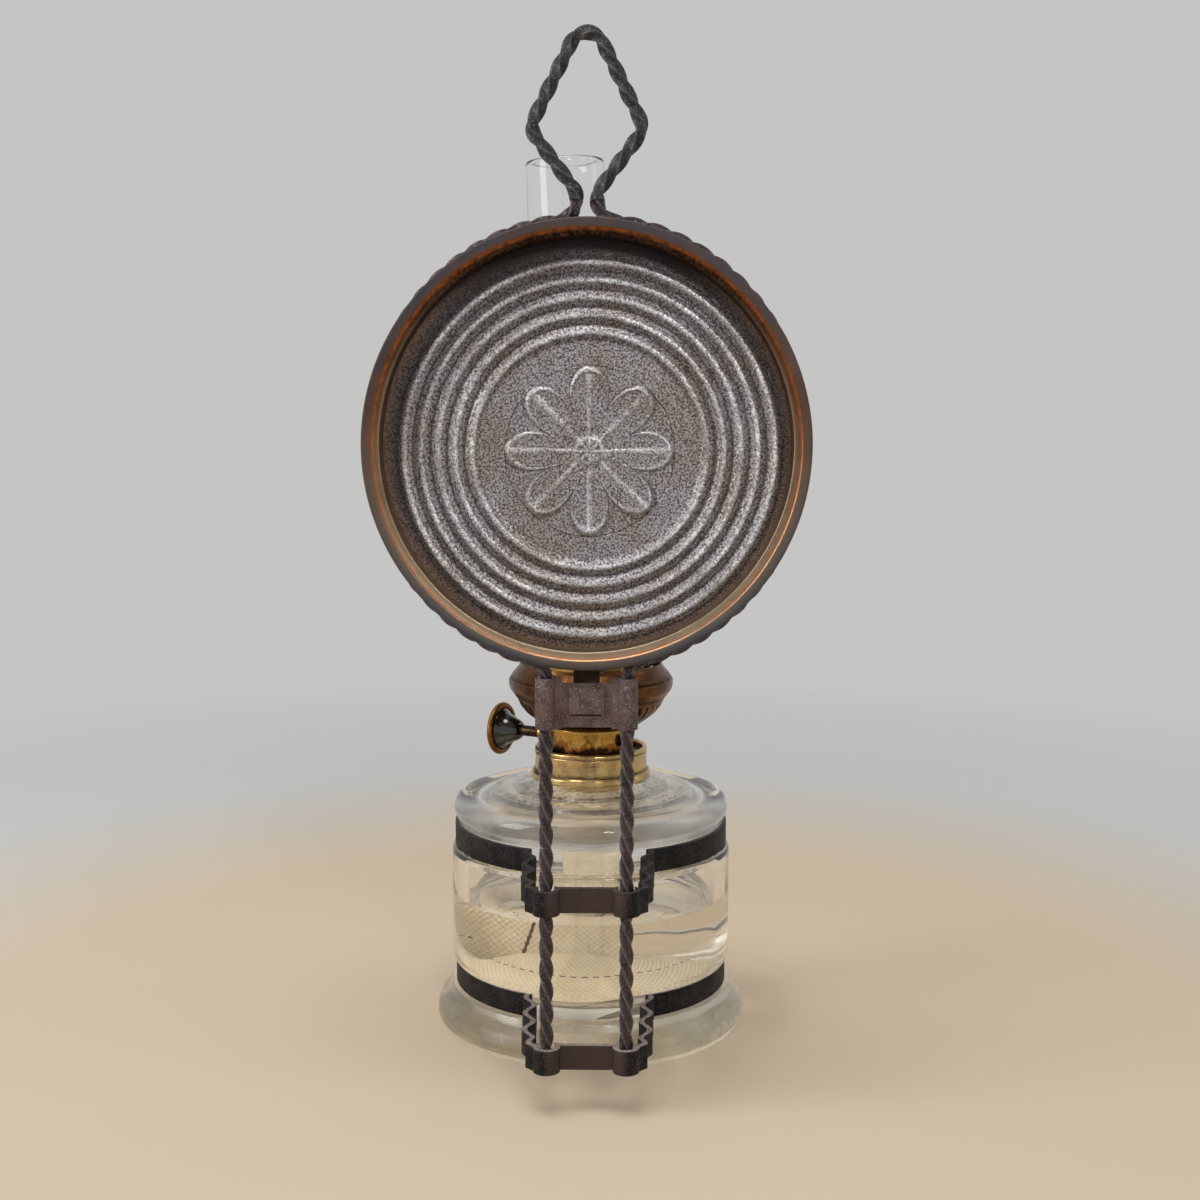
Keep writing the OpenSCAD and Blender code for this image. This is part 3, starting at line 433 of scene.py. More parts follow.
def brass(name, bright, dark, black, patch=0.6, patch_size=8.0, rough=(0.22, 0.5), metal=0.95, wear=0.0,
          bare="c9a860", bump=0.15, skin=None, skin_spot="5f4836", painted_light=None, stain=None):
    """Old brass: warm metal with tarnish in patches and black in the corners that the mesh marks: dirt on most
    pieces, painted shade on the rim. Painted light is lighter brass painted where the mesh marks it. A skin is
    the old dark finish that is left on it, with spots where the brass shows. A stain is brown and black oil that
    has dried round a foot: its foot, and how high the black and the brown reach."""
    material, shade = new_material(name)
    tarnish = shade.group("tarnish", {"Bright": tone(bright), "Dark": tone(dark), "Black": tone(black),
                                      "Patch size": patch_size, "Patch": patch})
    colour = tarnish.outputs["Colour"]
    # Painted light: lighter brass where the mesh marks it.
    if painted_light:
        colour = shade.mix(shade.attribute("painted_light"), colour, tone(painted_light))
    if skin:
        spots = shade.group("grain", {"Size": 3.6, "Detail": 4.0, "Low": 0.56, "High": 0.66})
        broad = shade.group("grain", {"Size": 26.0, "Detail": 3.0, "Low": 0.42, "High": 0.62})
        worn = shade.math("MAXIMUM", shade.math("MULTIPLY", spots.outputs["Mask"], 0.6),
                          shade.math("MULTIPLY", broad.outputs["Mask"], 0.55))
        colour = shade.mix(shade.attribute("skin"), colour, shade.mix(worn, tone(skin), tone(skin_spot)))
    if wear:
        edge = shade.group("edge wear", {"Size": 2.0, "Amount": wear})
        colour = shade.mix(edge.outputs["Mask"], colour, tone(bare))
    if stain:
        dried = shade.group("dried oil", {"Foot": stain[0], "Black top": stain[1], "Brown top": stain[2]})
        colour = shade.mix(dried.outputs["Brown"], colour, tone("8a5420"))
        colour = shade.mix(dried.outputs["Black"], colour, tone("15110f"))
    cloud = shade.group("grain", {"Size": 3.0, "Detail": 5.0, "Low": 0.3, "High": 0.7})
    scuffs = shade.group("grain", {"Size": 0.5, "Detail": 3.0})
    roughness = shade.math("ADD", shade.span(cloud.outputs["Mask"], 0, 1, rough[0], rough[1]),
                           shade.math("MULTIPLY", tarnish.outputs["Mask"], 0.25), clamp=True)
    if skin:
        roughness = shade.math("ADD", roughness, shade.math("MULTIPLY", shade.attribute("skin"), 0.2), clamp=True)
        metal = shade.span(shade.attribute("skin"), 0, 1, metal, 0.3)
    finish_material(shade, {"Base Color": colour, "Metallic": metal, "Roughness": roughness},
                    scuffs.outputs["Noise"], bump, 0.0002)
    return material


def clear_glass(name, tint, ior=1.5, wave=0.12, wave_size=14.0, dirt=None):
    """Clear glass with slow waves from the mould. The mesh holds where it is hazy and where dirt has settled."""
    material, shade = new_material(name)
    waves = shade.group("grain", {"Size": wave_size, "Detail": 1.0})
    colour, rough = tone(tint), 0.0
    if dirt:
        film = shade.group("grain", {"Size": 1.6, "Detail": 5.0, "Low": 0.44, "High": 0.58})
        drift = shade.group("grain", {"Size": 14.0, "Detail": 2.0, "Low": 0.38, "High": 0.54})
        specks = shade.math("MULTIPLY", film.outputs["Mask"], drift.outputs["Mask"])
        colour = shade.mix(shade.attribute("straw"), colour, tone("fff0c2"))
        colour = shade.mix(shade.math("MULTIPLY", specks, shade.attribute("dirt")), colour, tone(dirt))
        rough = shade.math("MULTIPLY", shade.attribute("haze"), shade.span(waves.outputs["Noise"], 0.3, 0.7, 0.6, 1.2))
    finish_material(shade, {"Base Color": colour, "Roughness": rough, "IOR": ior,
                            "Transmission Weight": 1.0},
                    waves.outputs["Noise"], wave, 0.0006)
    return material


def tin_sheet(name):
    """Grey tinned sheet: mottled grain, brown between the rings, a painted highlight on the crests and painted shade in
    the hollows.
    """
    material, shade = new_material(name)
    crest_highlight = shade.attribute("edge")
    hollow = shade.attribute("hollow")
    fine = shade.group("grain", {"Size": 0.62, "Detail": 2.0, "Low": 0.41, "High": 0.59})
    coarse = shade.group("grain", {"Size": 16.0, "Detail": 4.0, "Low": 0.42, "High": 0.62})
    grey = shade.mix(fine.outputs["Mask"], tone("524a4a"), tone("b3afb0"))
    brown = shade.mix(fine.outputs["Mask"], tone("50413a"), tone("a08e80"))
    colour = shade.mix(shade.math("MULTIPLY", coarse.outputs["Mask"], 0.6), grey, brown)
    sparkle = shade.group("grain", {"Size": 0.7, "Detail": 3.0, "Low": 0.46, "High": 0.6})
    streak = shade.group("grain", {"Size": 22.0, "Detail": 2.0, "Low": 0.4, "High": 0.6})
    # Painted highlight: near white on the crests of the rings and on the rosette's outlines.
    lit = shade.math("MULTIPLY", crest_highlight, shade.span(sparkle.outputs["Mask"], 0, 1, 0.2, 1.0))
    lit = shade.math("MULTIPLY", lit, shade.span(streak.outputs["Mask"], 0, 1, 0.35, 1.0))
    colour = shade.mix(lit, colour, tone("fafafa"))
    border = shade.mix(fine.outputs["Mask"], tone("5b463a"), tone("8a7260"))
    colour = shade.mix(shade.attribute("border"), colour, border)
    # Painted shade: near black where the mesh marks the plate's hollows.
    colour = shade.mix(hollow, colour, tone("231b19"))
    height = shade.group("pitted", {"Fine size": 0.6, "Broad size": 2.2})
    finish_material(shade, {"Base Color": colour, "Metallic": 0.6,
                            "Roughness": shade.span(fine.outputs["Mask"], 0, 1, 0.55, 0.33)},
                    height.outputs["Height"], 0.6, 0.0004)
    return material


def cotton(name, light, shadow):
    """Woven cotton tape: a net of raised threads, a row of small dark stitches and one thick seam across."""
    material, shade = new_material(name)
    along = shade.attribute("along")
    across = shade.attribute("across")
    rib = shade.math("SINE", shade.math("MULTIPLY", along, 2 * math.pi / 1.9))
    row = shade.math("SINE", shade.math("MULTIPLY", across, 2 * math.pi / 2.1))
    weave = shade.math("MULTIPLY", rib, row)
    cloud = shade.group("grain", {"Size": 7.0, "Detail": 4.0, "Low": 0.35, "High": 0.65})
    lint = shade.group("grain", {"Size": 0.5, "Detail": 3.0, "Low": 0.4, "High": 0.7})
    colour = shade.mix(shade.span(weave, -0.8, 0.8, 0.42, 0.0), tone(light), tone(shadow))
    colour = shade.mix(shade.math("MULTIPLY", cloud.outputs["Mask"], 0.35), colour, tone(shadow))
    dash = shade.math("GREATER_THAN", shade.math("SINE", shade.math("MULTIPLY", along, 2 * math.pi / 3.4)), -0.15)
    thread = shade.math("LESS_THAN", shade.math("ABSOLUTE", across), 0.26)
    small = shade.math("MULTIPLY", shade.math("MULTIPLY", thread, dash), shade.attribute("row"))
    colour = shade.mix(small, colour, tone("54464a"))
    slant = shade.math("ADD", along, shade.math("MULTIPLY", across, 0.25))
    knots = shade.math("SINE", shade.math("MULTIPLY", across, 2 * math.pi / 2.4))
    width = shade.span(knots, -1, 1, 0.36, 0.62)
    seam = shade.math("LESS_THAN", shade.math("ABSOLUTE", slant), width)
    colour = shade.mix(seam, colour, tone("3c2230"))
    height = shade.math("ADD", weave, shade.math("MULTIPLY", lint.outputs["Noise"], 0.8))
    finish_material(shade, {"Base Color": colour, "Roughness": 0.9, "Sheen Weight": 0.2},
                    height, 0.4, 0.0003)
    return material


def matt(name, light, dark, size, rough=0.85, bump=0.4):
    """A dry matt surface with a mottled tone, for plaster, card and solder."""
    material, shade = new_material(name)
    mottle = shade.group("grain", {"Size": size, "Detail": 5.0, "Low": 0.35, "High": 0.65})
    finish_material(shade, {"Base Color": shade.mix(mottle.outputs["Mask"], tone(light), tone(dark)),
                            "Roughness": rough}, mottle.outputs["Noise"], bump, 0.0003)
    return material


def lacquer(name):
    """Black lacquered wood, glossy, with brown rubbed places."""
    material, shade = new_material(name)
    rub = shade.group("grain", {"Size": 4.0, "Detail": 5.0, "Low": 0.52, "High": 0.72})
    colour = shade.mix(shade.math("MULTIPLY", rub.outputs["Mask"], 0.6), tone("14110f"), tone("3a2312"))
    finish_material(shade, {"Base Color": colour, "Roughness": 0.1, "Coat Weight": 1.0,
                            "Coat Roughness": 0.04}, rub.outputs["Noise"], 0.12, 0.0003)
    return material


def silvered(name):
    """Mirror glass, a little misted towards its edge."""
    material, shade = new_material(name)
    mist = shade.group("grain", {"Size": 7.0, "Detail": 6.0, "Low": 0.5, "High": 0.75})
    edge = shade.attribute("edge")
    amount = shade.math("MULTIPLY", shade.math("ADD", mist.outputs["Mask"], edge, clamp=True), 0.5)
    finish_material(shade, {"Base Color": shade.mix(amount, tone("e6e8ea"), tone("8f8a80")),
                            "Metallic": 1.0,
                            "Roughness": shade.span(amount, 0, 1, 0.03, 0.3)},
                    mist.outputs["Noise"], 0.03, 0.0003)
    return material


TWISTED_IRON = iron("twisted_iron", "3b3030", "1f1718", "8e8082", "a3989a", speckle=0.55, wear=0.4,
                    rust="50362d", rust_amount=0.35, grain=0.5, rough=(0.28, 0.6), metal=0.5, bump=0.9)
LOOP_IRON = iron("loop_iron", "383636", "201e1f", "8d8683", "8f8781", speckle=0.45, wear=0.3, grain=0.6,
                 rough=(0.32, 0.62), metal=0.5, bump=0.8)
# Its bare tone shows on worn edges and, as painted light, on faces that look up.
STRAP_IRON = iron("strap_iron", "141314", "0d0c0d", "7d7876", "b5a6a1", speckle=0.3, wear=0.85,
                  rust="4e3e39", rust_amount=0.7, grain=0.5, rough=(0.4, 0.7), metal=0.12, shine=0.15, bump=0.9,
                  rust_where="rusty")
RUSTED_SHEET = iron("rusted_sheet", "675552", "463836", "b4a4a0", "b6a6a0", speckle=0.5, wear=0.5,
                    rust="6f4a3c", rust_amount=0.45, grain=0.5, bump=1.0)
# The rim's black hollows are painted shadow and shade, and its lighter brass on the lower half is painted light.
RIM_BRASS = brass("rim_brass", "7a5034", "452e20", "060403", patch=0.75, patch_size=14.0, wear=0.8,
                  bare="b8642e", skin="2b323b", skin_spot="4b382c", painted_light="a39078", rough=(0.25, 0.45))
# Painted shade: the tongue's brass is near black so that the slit in the head plate's pocket in front of it reads as
# shade.
SHADED_TONGUE_BRASS = brass("shaded_tongue_brass", "38291b", "1d140e", "0a0806", patch=0.6, patch_size=5.0, rough=(0.4, 0.6))
BEZEL_BRASS = brass("bezel_brass", "a8834b", "5e452a", "221a14", patch=0.7, patch_size=10.0)
COLLAR_BRASS = brass("collar_brass", "d8b67c", "7d5c34", "120e0b", patch=0.55, patch_size=5.0, rough=(0.12, 0.3))
BURNER_BRASS = brass("burner_brass", "b8904e", "6e4f26", "17110c", patch=0.6, patch_size=4.0)
THROAT_BRASS = brass("throat_brass", "c49a50", "7a5a2a", "17110c", patch=0.4, patch_size=4.0, rough=(0.14, 0.32),
                     stain=(100.0, 105.0, 108.6))
GALLERY_BRASS = brass("gallery_brass", "6f492b", "3b2617", "140f0c", patch=0.8, patch_size=6.0,
                      rough=(0.22, 0.42))
SPRING_BRASS = brass("spring_brass", "7d5d38", "4b351e", "1a120b", patch=0.5)
SPINDLE_BRASS = brass("spindle_brass", "4a3a22", "1e1812", "0d0a08", patch=0.9, patch_size=3.0)
KNOB_BRASS = brass("knob_brass", "9a7038", "3a2815", "0e0b09", patch=0.6, patch_size=3.0)
FONT_GLASS = clear_glass("font_glass", "fefefc", wave=0.25, dirt="77796a")
CHIMNEY_GLASS = clear_glass("chimney_glass", "fefefe", ior=1.47, wave=0.1, wave_size=20.0)
LAMP_OIL = clear_glass("lamp_oil", "f0eae0", ior=1.44, wave=0.0)
GREY_TIN = tin_sheet("grey_tin")
WICK_COTTON = cotton("wick_cotton", "e9ddc4", "c2a679")
KNOB_BLACK = lacquer("knob_black")
MIRROR = silvered("mirror")
PLASTER = matt("plaster", "d9d2c2", "8e8a7a", 1.2)
CARD = matt("card", "94805f", "6d5c42", 2.0)
SOLDER = matt("solder", "7a7674", "4c4846", 0.8, rough=0.45)


# Twisted iron

def arc_through(centre, radius, start, end, count):
    return [Vector(p) for p in arc(centre, radius, start, end, count)]


def bend(before, corner, after, radius):
    """A rounded corner between two straight stretches."""
    to_before = (before - corner).normalized()
    to_after = (after - corner).normalized()
    angle = to_before.angle(to_after)
    centre = corner + (to_before + to_after).normalized() * radius / math.sin(angle / 2)
    first = corner + to_before * radius / math.tan(angle / 2) - centre
    start = math.degrees(math.atan2(first.y, first.x))
    ahead, onward = corner - before, after - corner
    side = 1 if ahead.x * onward.y - ahead.y * onward.x > 0 else -1
    return arc_through(centre, radius, start, start + side * (180 - math.degrees(angle)), 14)


def even(path, step):
    """The same path in even steps."""
    runs = [0.0]
    for a, b in zip(path, path[1:]):
        runs.append(runs[-1] + (b - a).length)
    count = round(runs[-1] / step)
    out = []
    i = 0
    for k in range(count + 1):
        run = runs[-1] * k / count
        while i < len(path) - 2 and runs[i + 1] < run:
            i += 1
        t = (run - runs[i]) / max(runs[i + 1] - runs[i], 1e-9)
        out.append(path[i].lerp(path[i + 1], min(1.0, t)))
    return out, runs[-1]


RING_A = 66.304
RING_B = RING_A + 1.7
JOIN_ANGLE = 15.0
LEAVE_ANGLE = 7.5
NECK_X = 3.1
ROD_FOOT_Z = 16.0


def side_path():
    """One rod and its half of the ring, from the foot up to the neck of the loop."""
    s, c = math.sin(math.radians(JOIN_ANGLE)), math.cos(math.radians(JOIN_ANGLE))
    turn = 90 - math.degrees(math.atan(RING_B * s / (RING_A * c)))
    radius = (RING_A * s - ROD_X) / (1 - math.cos(math.radians(turn)))
    low = REFLECTOR_Z - RING_B * c - radius * math.sin(math.radians(turn))
    path = [Vector((ROD_X, ROD_FOOT_Z))]
    path += arc_through((ROD_X + radius, low), radius, 180, 180 - turn, 12)
    for i in range(1, 144):
        a = math.radians(JOIN_ANGLE + (180 - LEAVE_ANGLE - JOIN_ANGLE) * i / 144)
        path.append(Vector((RING_A * math.sin(a), REFLECTOR_Z - RING_B * math.cos(a))))
    s, c = math.sin(math.radians(LEAVE_ANGLE)), math.cos(math.radians(LEAVE_ANGLE))
    turn = 90 - math.degrees(math.atan(RING_B * s / (RING_A * c)))
    radius = (RING_A * s - NECK_X) / (1 - math.cos(math.radians(turn)))
    top = REFLECTOR_Z + RING_B * c + radius * math.sin(math.radians(turn))
    path += arc_through((NECK_X + radius, top), radius, 180 + turn, 180, 12)
    return path


def loop_path(neck):
    """The hanging loop, from the left neck over the tip to the right neck."""
    corner = Vector((17.2, REFLECTOR_Z + 94.6))
    tip = Vector((0, corner.y + 34.1))
    leg = Vector((NECK_X, corner.y - (corner.x - NECK_X) / 0.76))
    left = [neck] + bend(neck, leg, corner, 4) + bend(leg, corner, tip, 5.2)
    over = bend(corner, tip, Vector((-corner.x, corner.y)), 5.2)
    return left + over + [Vector((-p.x, p.y)) for p in reversed(left)]


def bar_section():
    """Square section with worn corners and slightly hollow sides: angle, radius and wear of each point."""
    half = IRON_SIDE / 2
    points = []
    for k in range(4):
        for step, wear, hollow in ((-1.0, 0.0, 0.2), (-0.62, 0.0, 0.17), (-0.3, 0.15, 0.08), (-0.08, 0.8, 0.04),
                                   (0.0, 1.0, 0.06), (0.08, 0.8, 0.04), (0.3, 0.15, 0.08), (0.62, 0.0, 0.17)):
            angle = math.radians(90 * k) + step * math.pi / 4
            reach = half / math.cos(math.pi / 4 - abs(step) * math.pi / 4) - hollow
            points.append((angle, reach, wear))
    return points


def twisted_bar(name, path, start_turn, length, material):
    """A square bar that twists as it follows a path in the plane of the rods."""
    stations, run = even(path, 1.0)
    section = bar_section()
    verts, wear = [], []
    for i, here in enumerate(stations):
        t = (stations[min(i + 1, len(stations) - 1)] - stations[max(i - 1, 0)]).normalized()
        turn = math.radians(start_turn - 360 * length * i / (len(stations) - 1) / TWIST_PITCH + 45)
        for angle, reach, worn in section:
            a = turn + angle
            x, y, z = here.x, ROD_Y, here.y
            rough = 0.07 * smooth_noise(x + math.cos(a), a * 2, z, 2.5) - 0.05
            rough += 0.04 * smooth_noise(x * 3, a * 3, z * 3, 2.0)
            r = reach + rough
            verts.append((x + r * math.cos(a) * t.y, y + r * math.sin(a), z - r * math.cos(a) * t.x))
            wear.append(worn)
    n = len(section)
    faces = []
    for i in range(len(stations) - 1):
        for k in range(n):
            m = (k + 1) % n
            faces.append((i * n + k, i * n + m, (i + 1) * n + m, (i + 1) * n + k))
    faces.append(tuple(range(n)))
    faces.append(tuple((len(stations) - 1) * n + k for k in reversed(range(n))))
    obj = new_object(name, verts, faces, material)
    paint(obj, "edge", wear)
    return obj


def paint(obj, name, values, domain="POINT"):
    """Keeps a value for each point or face of a mesh, for its material."""
    layer = obj.data.attributes.new(name, "FLOAT", domain)
    layer.data.foreach_set("value", values)


SIDE = side_path()
LOOP = loop_path(SIDE[-1])
SIDE_LENGTH = even(SIDE, 1.0)[1]
LOOP_LENGTH = even(LOOP, 1.0)[1]
SIDE_TURN = -360 * SIDE_LENGTH / TWIST_PITCH
LOOP_TURN = -360 * LOOP_LENGTH / TWIST_PITCH
MIRRORED = [Vector((-p.x, p.y)) for p in SIDE]

place(twisted_bar("left_twisted_iron", SIDE, 0, SIDE_LENGTH, TWISTED_IRON),
      "lamp", ["left_iron"])
place(twisted_bar("right_twisted_iron", MIRRORED, -(SIDE_TURN + LOOP_TURN) - SIDE_TURN, SIDE_LENGTH, TWISTED_IRON),
      "lamp", ["right_iron"])
place(twisted_bar("twisted_loop", LOOP, SIDE_TURN, LOOP_LENGTH, LOOP_IRON),
      "lamp", ["hanging_loop"])


# Pieces cut from sheet and bar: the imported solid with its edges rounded

def softened(name, node, material, width=0.25, steps=2, angle=25, lit_top=0.0, edge_wear=1.0):
    """A copy of a node's solid with rounded edges that carry their wear, and a painted light from above that makes
    edges and faces which look up lighter.
    """
    bm = bmesh.new()
    bm.from_mesh(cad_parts[node].data)
    bmesh.ops.remove_doubles(bm, verts=bm.verts, dist=0.002 * MM)
    bmesh.ops.dissolve_limit(bm, angle_limit=math.radians(0.6), verts=bm.verts, edges=bm.edges)
    edges = [e for e in bm.edges if len(e.link_faces) == 2 and e.calc_face_angle(0) > math.radians(angle)]
    made = bmesh.ops.bevel(bm, geom=edges, offset=width * MM, offset_type="OFFSET", segments=steps,
                           profile=0.5, affect="EDGES", clamp_overlap=True)
    bm.faces.index_update()
    rounded_faces = {face.index for face in made["faces"] if face.is_valid}
    wear = []
    for face in bm.faces:
        # Painted light from above: the more an edge or face looks up, the lighter it is painted, on top of the edge
        # wear.
        up = ease((face.normal.z - 0.2) / 0.5)
        worn = edge_wear * (0.45 + 0.55 * up) if face.index in rounded_faces else 0.0
        wear.append(max(worn, lit_top * up))
    mesh = bpy.data.meshes.new(name)
    bm.to_mesh(mesh)
    bm.free()
    mesh.materials.clear()
    mesh.materials.append(material)
    mesh.polygons.foreach_set("material_index", [0] * len(mesh.polygons))
    mesh.polygons.foreach_set("use_smooth", [True] * len(mesh.polygons))
    obj = bpy.data.objects.new(name, mesh)
    bpy.context.scene.collection.objects.link(obj)
    paint(obj, "edge", wear, "FACE")
    paint(obj, "rusty", [ease((14 - abs(v.co.x) / MM) / 3) * ease((v.co.y / MM - 80) / 6) for v in mesh.vertices])
    sharp_edges(obj, 32)
    return obj


# The sixth column paints the faces that look up lighter, a painted light from above, strong on the lower strap and
# faint on the upper.
for node, name, material, slot, width, lit_top, edge_wear in (
        ("lower_strap", "lower_spring_strap", STRAP_IRON, "strap_iron", 0.35, 0.9, 1.0),
        ("upper_strap", "upper_spring_strap", STRAP_IRON, "strap_iron", 0.35, 0.12, 0.4),
        ("head_plate", "rusted_head_plate", RUSTED_SHEET, "rusted_sheet", 0.22, 0.0, 1.0),
        ("reflector_tongue", "hooked_tongue", SHADED_TONGUE_BRASS, "bezel_brass", 0.12, 0.0, 1.0)):
    place(softened(name, node, material, width, lit_top=lit_top, edge_wear=edge_wear), "lamp", [node])
for node, name, material, slot, width in (
        ("burner_basket", "slotted_basket", GALLERY_BRASS, "gallery_brass", 0.1),
        ("chimney_springs", "leaf_springs", SPRING_BRASS, "spring_brass", 0.1),
        ("wick_tube", "flat_wick_tube", SPRING_BRASS, "spring_brass", 0.12),
        ("flame_cone", "slotted_flame_cone", BURNER_BRASS, "burner_brass", 0.12)):
    place(softened(name, node, material, width), "burner", [node])
for node, name, width in (("wick_spindle", "turned_spindle", 0.3), ("wick_wheels", "toothed_wheels", 0.08)):
    place(softened(name, node, SPINDLE_BRASS, width), "spindle", [node])


# Reflector

def profile_attributes(obj, name, marks):
    """Marks lathed points near given places of the outline; marks are (radius, height, reach, value)."""
    values = []
    for vert in obj.data.vertices:
        r, h = math.hypot(vert.co.x, vert.co.y) / MM, vert.co.z / MM
        best = 0.0
        for radius, height, reach, value in marks:
            gap = math.hypot(r - radius, h - height)
            best = max(best, value * (1 - ease(gap / reach)))
        values.append(best)
    paint(obj, name, values)


PLATE_Y = 86.904
BEZEL_Y = 77.404
LIP_Y = 94.104
WALL_R = 63.6
WALL_IN_R = 62.8


def dented(amount, scale):
    """A slow unevenness for a lathed piece."""
    return lambda angle, radius, height: amount * smooth_noise(
        math.cos(angle) * 50, math.sin(angle) * 50, height * 2, scale)


def make_rim():
    flange = LIP_Y + 0.8
    outline = rounded([
        (WALL_IN_R, PLATE_Y + 0.01, 0.1), (WALL_R - 0.05, PLATE_Y + 0.01, 0.1), (WALL_R - 0.05, LIP_Y + 0.02, 0.6),
        (LIP_R - 0.3, LIP_Y + 0.03, 0.7), (LIP_R, LIP_Y + 0.8, 0.6), (LIP_R - 0.4, LIP_Y + 1.38, 0.5),
        (LIP_R - 3, LIP_Y + 1.36, 0.5), (LIP_R - 3.35, flange + 0.2, 0.3), (WALL_R + 0.6, flange, 0.4),
        (WALL_IN_R + 0.1, flange - 0.1, 0.6), (WALL_IN_R, flange - 1.2, 0.5)], 0.4, 5)
    dense = []
    for a, b in zip(outline, outline[1:] + outline[:1]):
        pieces = max(1, int(math.dist(a, b) / 1.2))
        dense += [(a[0] + (b[0] - a[0]) * k / pieces, a[1] + (b[1] - a[1]) * k / pieces) for k in range(pieces)]
    obj = lathe("folded_rim", dense, RIM_BRASS, 240, dented(-0.05, 9))
    profile_attributes(obj, "edge", [(LIP_R - 3.35, flange + 0.3, 0.6, 1.0), (LIP_R, LIP_Y + 1.0, 0.5, 0.4)])
    skin, painted_light, hollow = [], [], []
    for vert in obj.data.vertices:
        r, h = math.hypot(vert.co.x, vert.co.y) / MM, vert.co.z / MM
        below = vert.co.y / MM / r
        skin.append(ease((r - LIP_R + 3.1) / 0.5) * (0.6 + 0.4 * ease(abs(below))))
        # Painted light: lighter brass painted on the lower half of the rim and in a thin line at the flange's inner
        # edge, standing for light from above.
        light = ease((below + 0.35) / 1.2)
        thin = math.exp(-((r - WALL_IN_R - 0.3) / 0.35) ** 2) * ease((h - flange + 1.5) / 1.0)
        painted_light.append(max(0.85 * light, 0.7 * thin * ease(below + 0.9)))
        # Painted shadow: black on the top half of the flange under the lip; painted shade at the foot of the inner wall
        # by the plate.
        shade_top = ease((-below + 0.1) / 1.0)
        inner = 1 - ease((h - PLATE_Y) / 2.6)
        hollow.append(max(0.95 * shade_top * ease((LIP_R - 3.0 - r) / 0.5), inner * ease((WALL_R + 0.5 - r) / 0.5)))
    paint(obj, "skin", skin)
    paint(obj, "painted_light", painted_light)
    paint(obj, "hollow", hollow)
    onto_reflector(obj)
    return place(obj, "lamp", ["reflector_rim"])


PATTERN_X = -0.8
PATTERN_Z = -1.4
OUTER_RING_R = 57.1
RING_PITCH = 5.25
RINGS = 5
RING_RISE = 1.1
ROSETTE_R = 26.0
PETALS = 8
PLATE_T = 0.6


def petal_reach(angle):
    return ROSETTE_R * (0.4 + 0.6 * math.sqrt(abs(math.cos(angle * PETALS / 2))))


def plate_relief(r, angle):
    """Height of the pressing at a distance and angle from its centre, with the crest that takes a painted highlight and
    the hollow that takes painted shade.
    """
    rise = crest_highlight = hollow = 0.0
    ring_from = OUTER_RING_R - (RINGS - 0.5) * RING_PITCH
    if ring_from < r < OUTER_RING_R + RING_PITCH / 2:
        wave = 0.5 + 0.5 * math.cos(2 * math.pi * (r - OUTER_RING_R) / RING_PITCH)
        rise = RING_RISE * wave ** 0.85
        crest_highlight = ease((wave - 0.74) / 0.22)
        hollow = ease((0.16 - wave) / 0.16) if r > ring_from + 1.5 else 0.0
    elif r < ROSETTE_R:
        inside = petal_reach(angle) - r
        share = abs(math.cos(angle * PETALS / 2))
        rim = math.exp(-((inside - 1.0) / 0.7) ** 2)
        body = ease(inside / 1.6)
        vein = math.exp(-((1 - share) * r / 0.35) ** 2) if share > 0.8 else 0.0
        rise = 0.45 * body + 0.6 * rim + 0.35 * vein * body
        boss = ease((5.2 - r) / 1.4)
        rise = max(rise * (1 - 0.5 * ease((7.4 - r) / 1.2)), 0.76 * boss)
        crest_highlight = max(rim, 0.8 * vein * body, boss * ease((r - 3.4) / 0.8))
        hollow = 0.7 * math.exp(-((inside + 0.7) / 0.6) ** 2)
    return rise, crest_highlight, hollow


